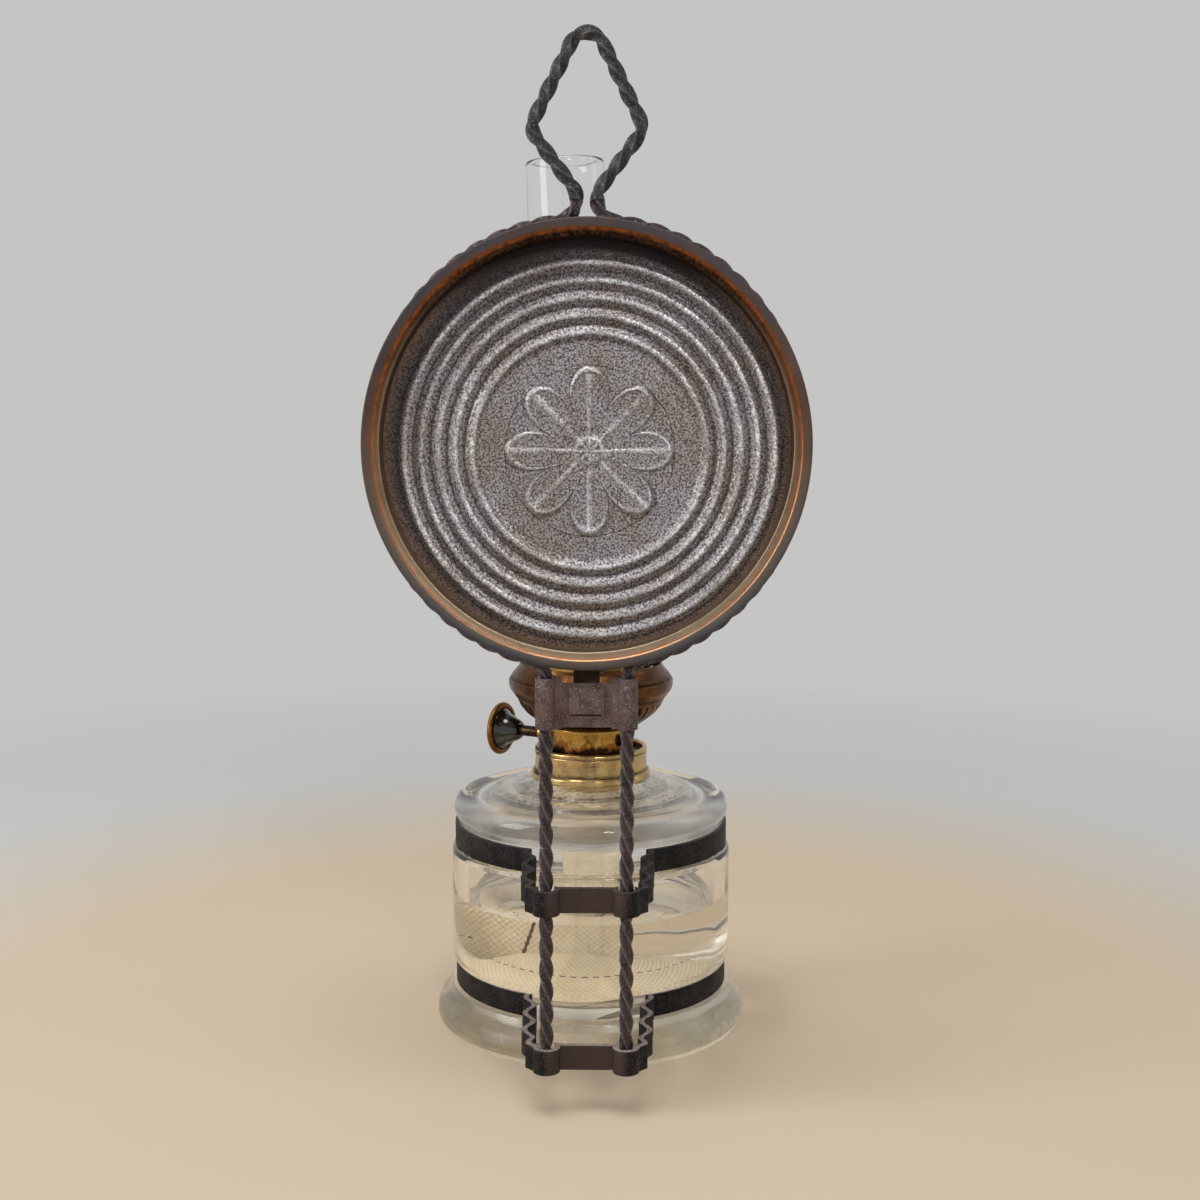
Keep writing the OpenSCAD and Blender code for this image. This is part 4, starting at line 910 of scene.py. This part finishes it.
def make_back_plate():
    """Pressed tin: the relief on both faces, out to the plate's round edge."""
    angles = 360
    radii = [0.6 * i for i in range(1, 45)] + [26.2 + 0.42 * i for i in range(80)]
    verts, crest_highlight, hollow, border = [], [], [], []
    limit = WALL_R - 0.12
    for side in (0, 1):
        verts.append((PATTERN_X, PLATE_Y - PLATE_T * side + 0.76, REFLECTOR_Z + PATTERN_Z))
        crest_highlight.append(0.0)
        hollow.append(0.0)
        border.append(0.0)
        for a in range(angles):
            angle = 2 * math.pi * a / angles
            c, s = math.cos(angle), math.sin(angle)
            centre = PATTERN_X * c + PATTERN_Z * s
            edge = -centre + math.sqrt(centre * centre + limit * limit - PATTERN_X ** 2 - PATTERN_Z ** 2)
            for r in radii + [edge - 1.2, edge - 0.5, edge]:
                r = min(r, edge)
                # top is the crest mask of the painted highlight.
                rise, top, valley_shade = plate_relief(r, angle)
                x, z = PATTERN_X + r * c, PATTERN_Z + r * s
                rise = min(rise, RING_RISE - 0.03) + 0.04 * smooth_noise(x, 0, z, 6) * (r < limit - 3)
                # Painted shade for the hollow mask: the valleys between the rings and round the rosette, the groove by
                # the border, slopes that face down, and a shadow along the top of the border.
                groove_shade = math.exp(-((r - OUTER_RING_R - 2.4) / 0.7) ** 2)
                slope = (plate_relief(r + 0.3, angle)[0] - plate_relief(r - 0.3, angle)[0]) / 0.6
                under = ease(slope * s / 0.5)
                shadow = ease((s - 0.55) / 0.4) * ease((r - OUTER_RING_R - 1.6) / 1.4)
                verts.append((x, PLATE_Y - PLATE_T * side + rise - 0.02, REFLECTOR_Z + z))
                crest_highlight.append(top)
                hollow.append(max(valley_shade * 0.75, 0.8 * groove_shade, shadow, 0.45 * under))
                border.append(ease((r - OUTER_RING_R - 2.4) / 1.0))
    per = len(radii) + 3
    faces = []
    base = [0, 1 + angles * per]
    for side in (0, 1):
        b = base[side]
        for a in range(angles):
            n = (a + 1) % angles
            first = (b, b + 1 + a * per, b + 1 + n * per)
            faces.append(first if side == 0 else tuple(reversed(first)))
            for k in range(per - 1):
                quad = (b + 1 + a * per + k, b + 1 + a * per + k + 1, b + 1 + n * per + k + 1, b + 1 + n * per + k)
                faces.append(quad if side == 0 else tuple(reversed(quad)))
    for a in range(angles):
        n = (a + 1) % angles
        k = per - 1
        faces.append((base[0] + 1 + a * per + k, base[1] + 1 + a * per + k,
                      base[1] + 1 + n * per + k, base[0] + 1 + n * per + k))
    obj = new_object("pressed_back_plate", verts, faces, GREY_TIN)
    paint(obj, "edge", crest_highlight)
    paint(obj, "hollow", hollow)
    paint(obj, "border", border)
    tidy_mesh(obj, 0.001)
    return place(obj, "lamp", ["back_plate"])


def make_mirror():
    glass_r = WALL_R - 0.1
    hollow, thick = 4.2, 2.0
    front_y = BEZEL_Y + 0.9
    outline = []
    for i in range(41):
        r = glass_r * i / 40
        outline.append((max(r, 0.001), front_y + hollow * (1 - (r / glass_r) ** 2)))
    for i in range(40, -1, -1):
        r = glass_r * i / 40
        outline.append((max(r, 0.001), front_y + thick + hollow * (1 - (r / glass_r) ** 2) - 0.02))
    obj = lathe("silvered_mirror", outline, MIRROR, 180)
    values = [ease((math.hypot(v.co.x, v.co.y) / MM - 57) / 5) for v in obj.data.vertices]
    paint(obj, "edge", values)
    onto_reflector(obj)
    sharp_edges(obj, 40)
    return place(obj, "lamp", ["mirror_glass"])


def make_bezel():
    cup_in, cup_r, flange = WALL_R + 0.1, WALL_R + 0.9, ROD_Y - IRON_SIDE / math.sqrt(2) - 0.2
    outline = rounded([
        (WALL_R - 3.4, BEZEL_Y + 0.1, 0.25), (WALL_R - 3.4, BEZEL_Y + 0.8, 0.25), (cup_in, BEZEL_Y + 0.8, 0.2),
        (cup_in, flange, 0.4), (LIP_R - 1.2, flange, 0.3), (LIP_R - 0.82, flange - 0.7, 0.6),
        (LIP_R - 1.4, flange - 1.38, 0.5), (cup_r + 0.5, flange - 1.4, 0.5), (cup_r, flange - 2.2, 0.5),
        (cup_r, BEZEL_Y, 1.5)], 0.4, 5)
    dense = []
    for a, b in zip(outline, outline[1:] + outline[:1]):
        pieces = max(1, int(math.dist(a, b) / 1.5))
        dense += [(a[0] + (b[0] - a[0]) * k / pieces, a[1] + (b[1] - a[1]) * k / pieces) for k in range(pieces)]
    obj = lathe("brass_bezel", dense, BEZEL_BRASS, 240, dented(-0.04, 12))
    profile_attributes(obj, "hollow", [(cup_r, flange - 1.8, 1.2, 0.8), (WALL_R - 3.4, BEZEL_Y + 0.8, 0.8, 0.8)])
    onto_reflector(obj)
    return place(obj, "lamp", ["front_bezel"])


make_rim()
make_back_plate()
make_mirror()
make_bezel()


# Font

GROOVE_R = 48.2
FONT_R = 51.3
FOOT_R = 56.9
FONT_IN_R = 45.4
FLOOR_T = 16.5
BOWL_R = 9.0
LOWER_Z = 15.1
UPPER_Z = 66.7
BEAD_R = 50.5
BEAD_Z = 80.3
DISH_Z = 85.1
STEP_R = 36.5
SEAT_Z = 90.7
COLLAR_R = 20.8
OIL_TOP = 48.5


def make_font():
    outer = [
        (0.001, 1.2, 0), (34, 1.1, 6), (44, 0.02, 2), (FOOT_R - 2.0, 0.02, 1.6), (FOOT_R - 0.02, 2.6, 2), (FOOT_R - 0.02, 5.6, 2),
        (FOOT_R - 1.3, 9.0, 3), (FONT_R + 1.3, 12.2, 3), (FONT_R + 0.4, LOWER_Z - 0.5, 0.5),
        (GROOVE_R, LOWER_Z - 0.35, 0.5), (GROOVE_R, LOWER_Z + 8.35, 0.5), (FONT_R - 0.6, LOWER_Z + 8.4, 1.0),
        (FONT_R - 0.02, LOWER_Z + 10.4, 1.5), (FONT_R - 0.02, UPPER_Z - 2.3, 1.5), (FONT_R - 0.6, UPPER_Z - 0.4, 1.0),
        (GROOVE_R, UPPER_Z - 0.35, 0.5), (GROOVE_R, UPPER_Z + 8.35, 0.5), (BEAD_R - 1.3, UPPER_Z + 8.4, 1.0)]
    outline = rounded(outer, 1, 5, closed=False)
    outline += arc((BEAD_R - 4.72, BEAD_Z), 4.7, -30, 82, 14)
    upper = [
        (BEAD_R - 5.5, DISH_Z - 0.12, 1.5), (BEAD_R - 9, DISH_Z - 0.5, 3), (STEP_R + 1.2, DISH_Z - 0.4, 1.5),
        (STEP_R, DISH_Z + 1.2, 1.0), (STEP_R - 2, DISH_Z + 1.75, 1.5), (STEP_R - 7.6, DISH_Z + 2.1, 1.5),
        (STEP_R - 8.8, DISH_Z + 3.5, 1.4), (COLLAR_R + 3.2, SEAT_Z - 0.7, 1.5), (COLLAR_R + 1.5, SEAT_Z - 0.12, 0.8),
        (19, SEAT_Z - 0.1, 0.1), (18.98, SEAT_Z + 7.55, 0.6), (17.12, SEAT_Z + 7.55, 0.6),
        (17.12, DISH_Z + 0.6, 2.5), (22.2, DISH_Z - 2.4, 3), (33.5, DISH_Z - 4.5, 3)]
    outline += rounded([outline[-1]] + upper, 1, 5, closed=False)[1:]
    outline += arc((FONT_IN_R - 9, DISH_Z - 15), 9, 62, 0, 10)
    outline += [(FONT_IN_R + 0.12 * math.sin(k), 66 - 6 * k) for k in range(6)]
    outline += arc((FONT_IN_R - BOWL_R, FLOOR_T + BOWL_R), BOWL_R, 0, -90, 20)
    outline += [(22, FLOOR_T + 0.1), (0.001, FLOOR_T + 0.15)]
    obj = lathe("pressed_font", outline, FONT_GLASS, 240, dented(-0.07, 16), closed=False)
    tidy_mesh(obj, 0.004)
    haze, straw, dirt = [], [], []
    for vert in obj.data.vertices:
        r, h = math.hypot(vert.co.x, vert.co.y) / MM, vert.co.z / MM
        foot = ease((FLOOR_T - h) / 6) * ease((r - 20) / 20)
        shoulder = ease((h - UPPER_Z - 8) / 3)
        under = ease((1.6 - h) / 0.4) * ease((FOOT_R - 0.6 - r) / 1.2)
        roof = ease((h - DISH_Z + 14) / 5) * (r < FONT_IN_R + 0.3) * (h < DISH_Z - 1.2 or r < 17.5)
        haze.append(max(0.3 * foot, 0.12 * shoulder, 0.5 * under, 0.42 * roof))
        straw.append(0.75 * foot * (1 - under))
        dirt.append(ease((h - DISH_Z + 2) / 2) * ease((41 - r) / 6))
    paint(obj, "haze", haze)
    paint(obj, "straw", straw)
    paint(obj, "dirt", dirt)
    obj.visible_shadow = False
    return place(obj, "lamp", ["font_glass"])


def make_oil():
    wall = FONT_IN_R + 0.15
    outline = [(0.001, FLOOR_T - 0.05), (22, FLOOR_T - 0.1)]
    outline += arc((FONT_IN_R - BOWL_R, FLOOR_T + BOWL_R), BOWL_R + 0.15, -90, 0, 20)
    outline += [(wall, 34), (wall, OIL_TOP - 0.4)]
    outline += rounded([(wall, OIL_TOP - 0.1), (wall - 0.9, OIL_TOP - 0.12, 0.8), (wall - 3.5, OIL_TOP - 0.7, 2), (0.001, OIL_TOP - 0.8)],
                       1, 4, closed=False)
    obj = lathe("lamp_oil", outline, LAMP_OIL, 180, closed=False)
    obj.visible_shadow = False
    sharp_edges(obj, 50)
    return place(obj, "lamp", ["font_oil"])


def make_collar():
    rim = 0.9
    foot = 22.1
    outline = rounded([
        (COLLAR_R - 0.8, SEAT_Z + 0.02, 0.2), (foot - 0.45, SEAT_Z + 0.02, 0.4), (foot - 0.02, SEAT_Z + 0.7, 0.5),
        (foot - 0.2, SEAT_Z + 2.1, 0.5), (foot - 0.7, SEAT_Z + 2.7, 0.5), (COLLAR_R + 0.02, SEAT_Z + 3.1, 0.3),
        (COLLAR_R - 0.1, SEAT_Z + 4.4, 0.8), (COLLAR_R - 0.3, SEAT_Z + 7.0, 3.0), (COLLAR_R - 0.15, SEAT_Z + 9.3, 0.4),
        (COLLAR_R - 0.4, SEAT_Z + 9.6, 0.1), (COLLAR_R - 0.3, SEAT_Z + 9.9, 0.1)], 0.4, 4, closed=False)
    outline += arc((COLLAR_R - rim, SEAT_Z + 10.6), rim - 0.01, -20, 200, 12)
    seat = 99.2
    outline += rounded([
        (COLLAR_R - 0.9, SEAT_Z + 9.2, 0.6), (COLLAR_R - 1.2, seat - 0.02, 0.6), (15.92, seat - 0.02, 0.4), (15.92, SEAT_Z - 6.48, 0.2),
        (16.68, SEAT_Z - 6.48, 0.2), (16.68, seat - 0.8, 0.3), (COLLAR_R - 0.8, seat - 0.8, 0.3)], 0.3, 4, closed=False)
    obj = lathe("brass_collar", outline, COLLAR_BRASS, 200, dented(-0.03, 8))
    profile_attributes(obj, "hollow", [(COLLAR_R, SEAT_Z + 3.2, 0.7, 1.0), (COLLAR_R - 1.2, seat, 1.0, 1.0),
                                       (COLLAR_R - 0.4, SEAT_Z + 9.6, 0.35, 0.8), (foot, SEAT_Z + 0.1, 0.5, 0.8)])
    return place(obj, "lamp", ["font_collar"])


make_font()
make_oil()
make_collar()


# Burner

SEAT_B = 99.2
THROAT_R = 15.7
THROAT_TOP = 109.8
BASKET_TOP = 120.6
BASKET_R = 27.3
GALLERY_R = 30.2
GALLERY_TOP = 133.2
CHIMNEY_Z = 129.5
SPINDLE_Z = 105.9
KNOB_U = 35.2
KNOB_R = 9.8


def onto_spindle(obj):
    """Turns a lathed piece so that its height runs out along the wick spindle."""
    move_points(obj, lambda p: (p.z, SPINDLE_V + p.x, SPINDLE_Z + p.y))
    onto_burner(obj)


def make_gallery():
    mid = BASKET_TOP + 5.8
    g = GALLERY_R
    outline = rounded([
        (BASKET_R - 0.9, BASKET_TOP + 0.12, 0.2), (BASKET_R + 0.25, BASKET_TOP + 0.12, 0.3), (g - 1.75, mid - 4.4, 2),
        (g - 0.55, mid - 2.8, 2), (g - 0.08, mid - 1.2, 1.2), (g - 0.02, mid + 0.35, 0.6), (g - 0.2, mid + 0.95, 0.3),
        (g - 0.8, mid + 1.2, 0.25), (g - 0.75, mid + 1.65, 0.25), (g - 1.35, mid + 2.7, 1.5),
        (g - 3.85, GALLERY_TOP - 1.2, 1.6), (g - 4.05, GALLERY_TOP - 0.02, 0.3), (g - 4.68, GALLERY_TOP - 0.02, 0.3),
        (g - 4.6, GALLERY_TOP - 1.4, 0.8), (g - 2.6, mid + 2.4, 1.2), (g - 1.5, mid + 1, 0.6), (g - 0.95, mid, 0.6),
        (g - 1.6, mid - 2.6, 1.5), (BASKET_R - 0.9, BASKET_TOP + 0.9, 0.3)], 0.4, 5)
    ring = lathe("gallery_ring", outline, GALLERY_BRASS, 200, dented(-0.03, 8))
    ledge = lathe("gallery_ledge", rounded([
        (21.0, CHIMNEY_Z - 0.7, 0.1), (g - 2.45, CHIMNEY_Z - 0.7, 0.1), (g - 2.45, CHIMNEY_Z, 0.1), (21.0, CHIMNEY_Z, 0.1)],
        0.1, 2), GALLERY_BRASS, 160)
    obj = join("copper_gallery", [ring, ledge])
    profile_attributes(obj, "hollow", [(g - 0.85, mid + 1.4, 0.6, 1.0), (BASKET_R + 0.3, BASKET_TOP, 1.0, 1.0)])
    onto_burner(obj)
    return place(obj, "burner", ["burner_gallery"])


def make_knob():
    bore = 2.02
    edge = (KNOB_R - 1.1, KNOB_U + 0.1)
    disc = [(bore, KNOB_U + 0.2), (bore, KNOB_U + 1.38)] + rounded(
        [(3.9, KNOB_U + 1.38, 0.4), (4.5, KNOB_U + 0.95, 0.6), (5.6, KNOB_U + 0.7, 1), (edge[0] - 1.06, edge[1] + 0.35)],
        0.5, 4, closed=False)
    disc += arc(edge, 1.09, 160, -160, 22)
    disc += [(KNOB_R - 2.4, KNOB_U - 0.28), (4.4, KNOB_U + 0.19)]
    obj = lathe("dished_knob_disc", disc, KNOB_BRASS, 120)
    profile_attributes(obj, "hollow", [(3.0, KNOB_U + 1.2, 4.6, 1.3), (edge[0] - 1.0, edge[1] + 0.5, 1.2, 1.0)])
    onto_spindle(obj)
    place(obj, "spindle", ["knob_disc"])
    foot = KNOB_U - 8.2
    hub = rounded([
        (bore, foot + 0.02, 0.1), (3.1, foot + 0.02, 0.4), (3.75, foot + 0.8, 0.8), (4.4, foot + 2.2, 1.5), (5.1, foot + 3.7, 2),
        (5.55, foot + 5.0, 2), (6.3, foot + 6.2, 1.5), (KNOB_R - 2.3, foot + 7.25, 0.4), (KNOB_R - 2.35, KNOB_U - 0.38, 0.1),
        (4.4, KNOB_U + 0.08, 0.2), (bore, KNOB_U + 0.08, 0.1)], 0.4, 5)
    obj = lathe("black_knob_hub", hub, KNOB_BLACK, 96)
    onto_spindle(obj)
    place(obj, "spindle", ["knob_hub"])


def make_throat():
    """The burner's threaded skirt, its seat flange and throat; the shafts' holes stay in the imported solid's place."""
    return place(softened("burner_throat", "burner_base", THROAT_BRASS, 0.15), "burner", ["burner_base"])


make_gallery()
make_knob()
make_throat()


# Chimney

def chimney_outside(h):
    """Outer radius of the chimney at a height over its foot."""
    foot_r, belly, tube, top = 23.4, 27.6, 15.1, 13.9
    if h < 12:
        return foot_r
    if h < 34:
        return foot_r + (belly - foot_r) * ease((h - 12) / 22)
    if h < 84:
        return belly + (tube - belly) * ease((h - 34) / 50)
    return tube + (top - tube) * (h - 84) / 98


def make_chimney():
    heights = [0.5 * i for i in range(5)] + [2.5 + 179.5 * i / 110 for i in range(111)]
    heights[-1] = 182.0
    outer = [(chimney_outside(h) - 0.02, h) for h in heights]
    inner = [(chimney_outside(h) - 1.6, h) for h in reversed(heights)]
    outline = outer[:-1] + [(outer[-1][0] - 0.05, 181.6), (outer[-1][0] - 0.4, 181.95), (inner[0][0] + 0.4, 181.95),
                            (inner[0][0] + 0.05, 181.6)] + inner[1:]
    obj = lathe("glass_chimney", outline, CHIMNEY_GLASS, 160, dented(-0.05, 25))
    obj.visible_shadow = False
    lean = math.radians(3)
    foot = 23.4

    def stand(p):
        x = p.x - foot
        return (foot + x * math.cos(lean) + p.z * math.sin(lean), p.y,
                CHIMNEY_Z + 0.1 - x * math.sin(lean) + p.z * math.cos(lean))
    move_points(obj, stand)
    return place(obj, "chimney", ["chimney"])


make_chimney()


# Wick

WICK_W = 24.0
WICK_T = 2.4
TAIL_FOOT_Z = 16.8
SEAM_RUN = 17.0


def tape(name, line, width, material, stitched=0.0, sewn_from=None, cross=24):
    """A woven tape along a line of (point, side direction, face direction) in millimetres. It may have a row of
    stitches along its middle from a run onwards, and one seam across it at a run."""
    verts, along, across, row = [], [], [], []
    run = 0.0
    per = 2 * (cross + 1)
    for i, (point, side, face) in enumerate(line):
        if i:
            run += (point - line[i - 1][0]).length
        for layer in (1, -1):
            for k in range(cross + 1):
                t = (k / cross - 0.5) * layer
                bulge = WICK_T / 2 * (1 - abs(2 * t) ** 6) ** 0.5
                rib = 0.05 * math.sin(2 * math.pi * run / 1.9) * math.sin(2 * math.pi * t * width / 2.1)
                verts.append(point + side * t * width + face * layer * (bulge - 0.1 + rib))
                along.append(run - stitched)
                across.append(t * width)
                row.append(1.0 if sewn_from is not None and run > sewn_from else 0.0)
    faces = []
    n = len(line)
    for i in range(n - 1):
        for k in range(per):
            m = (k + 1) % per
            faces.append((i * per + k, i * per + m, (i + 1) * per + m, (i + 1) * per + k))
    faces.append(tuple(range(per)))
    faces.append(tuple((n - 1) * per + k for k in reversed(range(per))))
    obj = new_object(name, verts, faces, material)
    paint(obj, "along", along)
    paint(obj, "across", across)
    paint(obj, "row", row)
    tidy_mesh(obj, 0.001)
    return obj


def turned(x, y):
    a = math.radians(BURNER_TURN)
    return Vector((x * math.cos(a) - y * math.sin(a), x * math.sin(a) + y * math.cos(a), 0))


U = turned(1, 0)
V = turned(0, 1)
UP = Vector((0, 0, 1))
NO_SEAM = -500.0


def make_flat_wick():
    foot, length = 87.02, 53.96
    line = [(UP * (foot + length * i / 90), U, V) for i in range(91)]
    obj = tape("flat_wick", line, WICK_W, WICK_COTTON, NO_SEAM)
    return place(obj, "wick", ["wick"])


def corner_rise(r):
    """Height of the font's rounded inside corner over its floor, at a radius."""
    over = min(max(0.0, r - FONT_IN_R + BOWL_R), BOWL_R)
    return BOWL_R - math.sqrt(BOWL_R ** 2 - over ** 2)


def curl_line():
    """The loose wick on the font's floor: it comes out on edge, falls over towards the wall and lies in the
    rounded corner with its inner edge raised."""
    radius, turn, stop, half, float_up = 38.4, 12.0, 160.0, WICK_W / 2, 3.0
    inward = radius - (FONT_IN_R - 3.5 - half)
    start = BURNER_TURN + math.degrees(math.asin(turn / (radius - turn)))
    at_start = math.radians(start)
    centre = ((radius - turn) * math.cos(at_start), (radius - turn) * math.sin(at_start))
    plan = [turned(0.01, 0).to_2d()] + arc_through(centre, turn, BURNER_TURN - 90, start, 24)
    plan += arc_through((0, 0), radius, start + 2, stop, 80)
    stations = []
    for p in even(plan, 0.8)[0]:
        a = math.atan2(p.y, p.x)
        degrees = math.degrees(a)
        fallen = ease((degrees - start + 15) / 37)
        front = math.exp(-((degrees - 80) / 45) ** 2)
        tilt = math.radians(90 - fallen * (100 + 24 * front))
        r = p.length - inward * ease((degrees - start + 8) / 28)
        up, out = math.sin(tilt), math.cos(tilt)
        lift = corner_rise(r + half * out + 1) + float_up * fallen * (1 - front)
        rise = max(half * up, lift - half * up)
        point = Vector((r * math.cos(a), r * math.sin(a), TAIL_FOOT_Z + rise + WICK_T / 2 * out))
        stations.append((point, Vector((math.cos(a) * out, math.sin(a) * out, up))))
    line = []
    for i, (point, side) in enumerate(stations):
        heading = stations[min(i + 1, len(stations) - 1)][0] - stations[max(i - 1, 0)][0]
        line.append((point, side, heading.cross(side).normalized()))
    return line


def make_tail():
    top, foot = 86.68, TAIL_FOOT_Z + 0.5
    drop = [(UP * (top - (top - foot) * i / 70), U, V) for i in range(71)]
    hanging = tape("wick_drop", drop, WICK_W - 0.2, WICK_COTTON, NO_SEAM)
    line = curl_line()
    curl = tape("wick_curl", line, WICK_W - 0.2, WICK_COTTON, SEAM_RUN, SEAM_RUN + 14)
    obj = join("loose_wick", [hanging, curl])
    return place(obj, "lamp", ["wick_tail"])


make_flat_wick()
make_tail()


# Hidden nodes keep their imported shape

for node, material in (("collar_plaster", PLASTER), ("mirror_packing", CARD), ("rod_solder", SOLDER),
                       ("spindle_bush", BURNER_BRASS)):
    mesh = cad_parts[node].data
    mesh.materials.clear()
    mesh.materials.append(material)
    mesh.polygons.foreach_set("material_index", [0] * len(mesh.polygons))


# Camera

def make_camera():
    data = bpy.data.cameras.new("camera")
    data.sensor_width = 36
    data.sensor_fit = "HORIZONTAL"
    data.lens = 36 * FOCAL_PIXELS / PHOTO_SIZE
    data.clip_start, data.clip_end = 0.01, 50
    camera = bpy.data.objects.new("camera", data)
    bpy.context.scene.collection.objects.link(camera)
    pitch, yaw, roll = (math.radians(v) for v in (CAMERA_PITCH, CAMERA_YAW, CAMERA_ROLL))
    ahead = Vector((math.sin(yaw) * math.cos(pitch), -math.cos(yaw) * math.cos(pitch), -math.sin(pitch)))
    level = ahead.cross(Vector((0, 0, 1))).normalized()
    upright = level.cross(ahead)
    right = math.cos(roll) * level + math.sin(roll) * upright
    over = right.cross(ahead)
    axes = Matrix((right, over, -ahead)).transposed()
    camera.matrix_world = Matrix.LocRotScale(Vector(CAMERA_MM) * MM, axes.to_quaternion(), None)
    bpy.context.scene.camera = camera


make_camera()


# Studio

WALL_TONE = "c5c5c4"
CEILING_TONE = "8f9396"
THROUGH_TONE = "c6bfae"
FLOOR_TONE = "cab89f"


def make_floor():
    material, shade = new_material("studio_floor")
    apart = shade.add("ShaderNodeVectorMath", {0: shade.place()}, operation="LENGTH").outputs["Value"]
    colour = shade.mix(shade.span(apart, 0.22, 0.42), tone(FLOOR_TONE), tone(WALL_TONE))
    near = shade.add("ShaderNodeBsdfPrincipled", {"Base Color": colour, "Roughness": 0.85})
    far = shade.add("ShaderNodeEmission", {"Color": tone(WALL_TONE), "Strength": 1.0})
    both = shade.add("ShaderNodeMixShader", {0: shade.span(apart, 0.3, 0.75), 1: near.outputs[0], 2: far.outputs[0]})
    shade.add("ShaderNodeOutputMaterial", {"Surface": both.outputs[0]})
    verts = [(4000 * math.cos(a), 4000 * math.sin(a), -0.02) for a in (2 * math.pi * i / 96 for i in range(96))]
    floor = new_object("studio_floor", verts, [tuple(range(96))], material, smooth=False)


def make_world():
    world = bpy.data.worlds.new("studio")
    bpy.context.scene.world = world
    world.use_nodes = True
    world.node_tree.nodes.clear()
    shade = Shade(world.node_tree)
    path = shade.add("ShaderNodeLightPath")
    direction = shade.add("ShaderNodeTexCoord").outputs["Generated"]
    height = shade.add("ShaderNodeSeparateXYZ", {0: direction}).outputs["Z"]
    room = shade.mix(shade.span(height, -0.2, 0.9), tone("b6b5b4"), tone("f4f3f1"))
    soft = shade.add("ShaderNodeBackground", {"Color": room, "Strength": 0.5})
    ceiling = shade.mix(path.outputs["Is Transmission Ray"], tone(CEILING_TONE), tone(THROUGH_TONE))
    behind = shade.mix(shade.span(height, 0.45, 0.75), tone(WALL_TONE), ceiling)
    seen = shade.add("ShaderNodeBackground", {"Color": behind, "Strength": 1.0})
    shown = shade.math("MAXIMUM", path.outputs["Is Camera Ray"], path.outputs["Is Transmission Ray"])
    shown = shade.math("MAXIMUM", shown, path.outputs["Is Glossy Ray"])
    both = shade.add("ShaderNodeMixShader", {0: shown, 1: soft.outputs[0], 2: seen.outputs[0]})
    shade.add("ShaderNodeOutputWorld", {"Surface": both.outputs[0]})


def lamp(name, at, aim, size, watts, colour=(1, 1, 1)):
    data = bpy.data.lights.new(name, "AREA")
    data.shape = "RECTANGLE"
    data.size, data.size_y = size
    data.energy = watts
    data.color = colour
    obj = bpy.data.objects.new(name, data)
    obj.location = at
    obj.rotation_euler = (Vector(aim) - Vector(at)).to_track_quat("-Z", "Y").to_euler()
    obj.visible_transmission = False
    bpy.context.scene.collection.objects.link(obj)


make_floor()
make_world()
lamp("overhead", (0.15, 0.45, 1.35), (0, 0, 0.15), (0.9, 0.6), 10.0)
lamp("window_left", (1.2, 0.5, 0.7), (0, 0.05, 0.2), (0.5, 1.0), 7.5)
lamp("window_right", (-1.3, -0.1, 0.8), (0, 0.05, 0.2), (0.5, 1.0), 1.5)
lamp("key", (-0.35, 1.25, 0.75), (0, 0.05, 0.2), (0.22, 0.22), 2.8)
bpy.context.scene.view_settings.view_transform = "Standard"

bpy.context.view_layer.update()
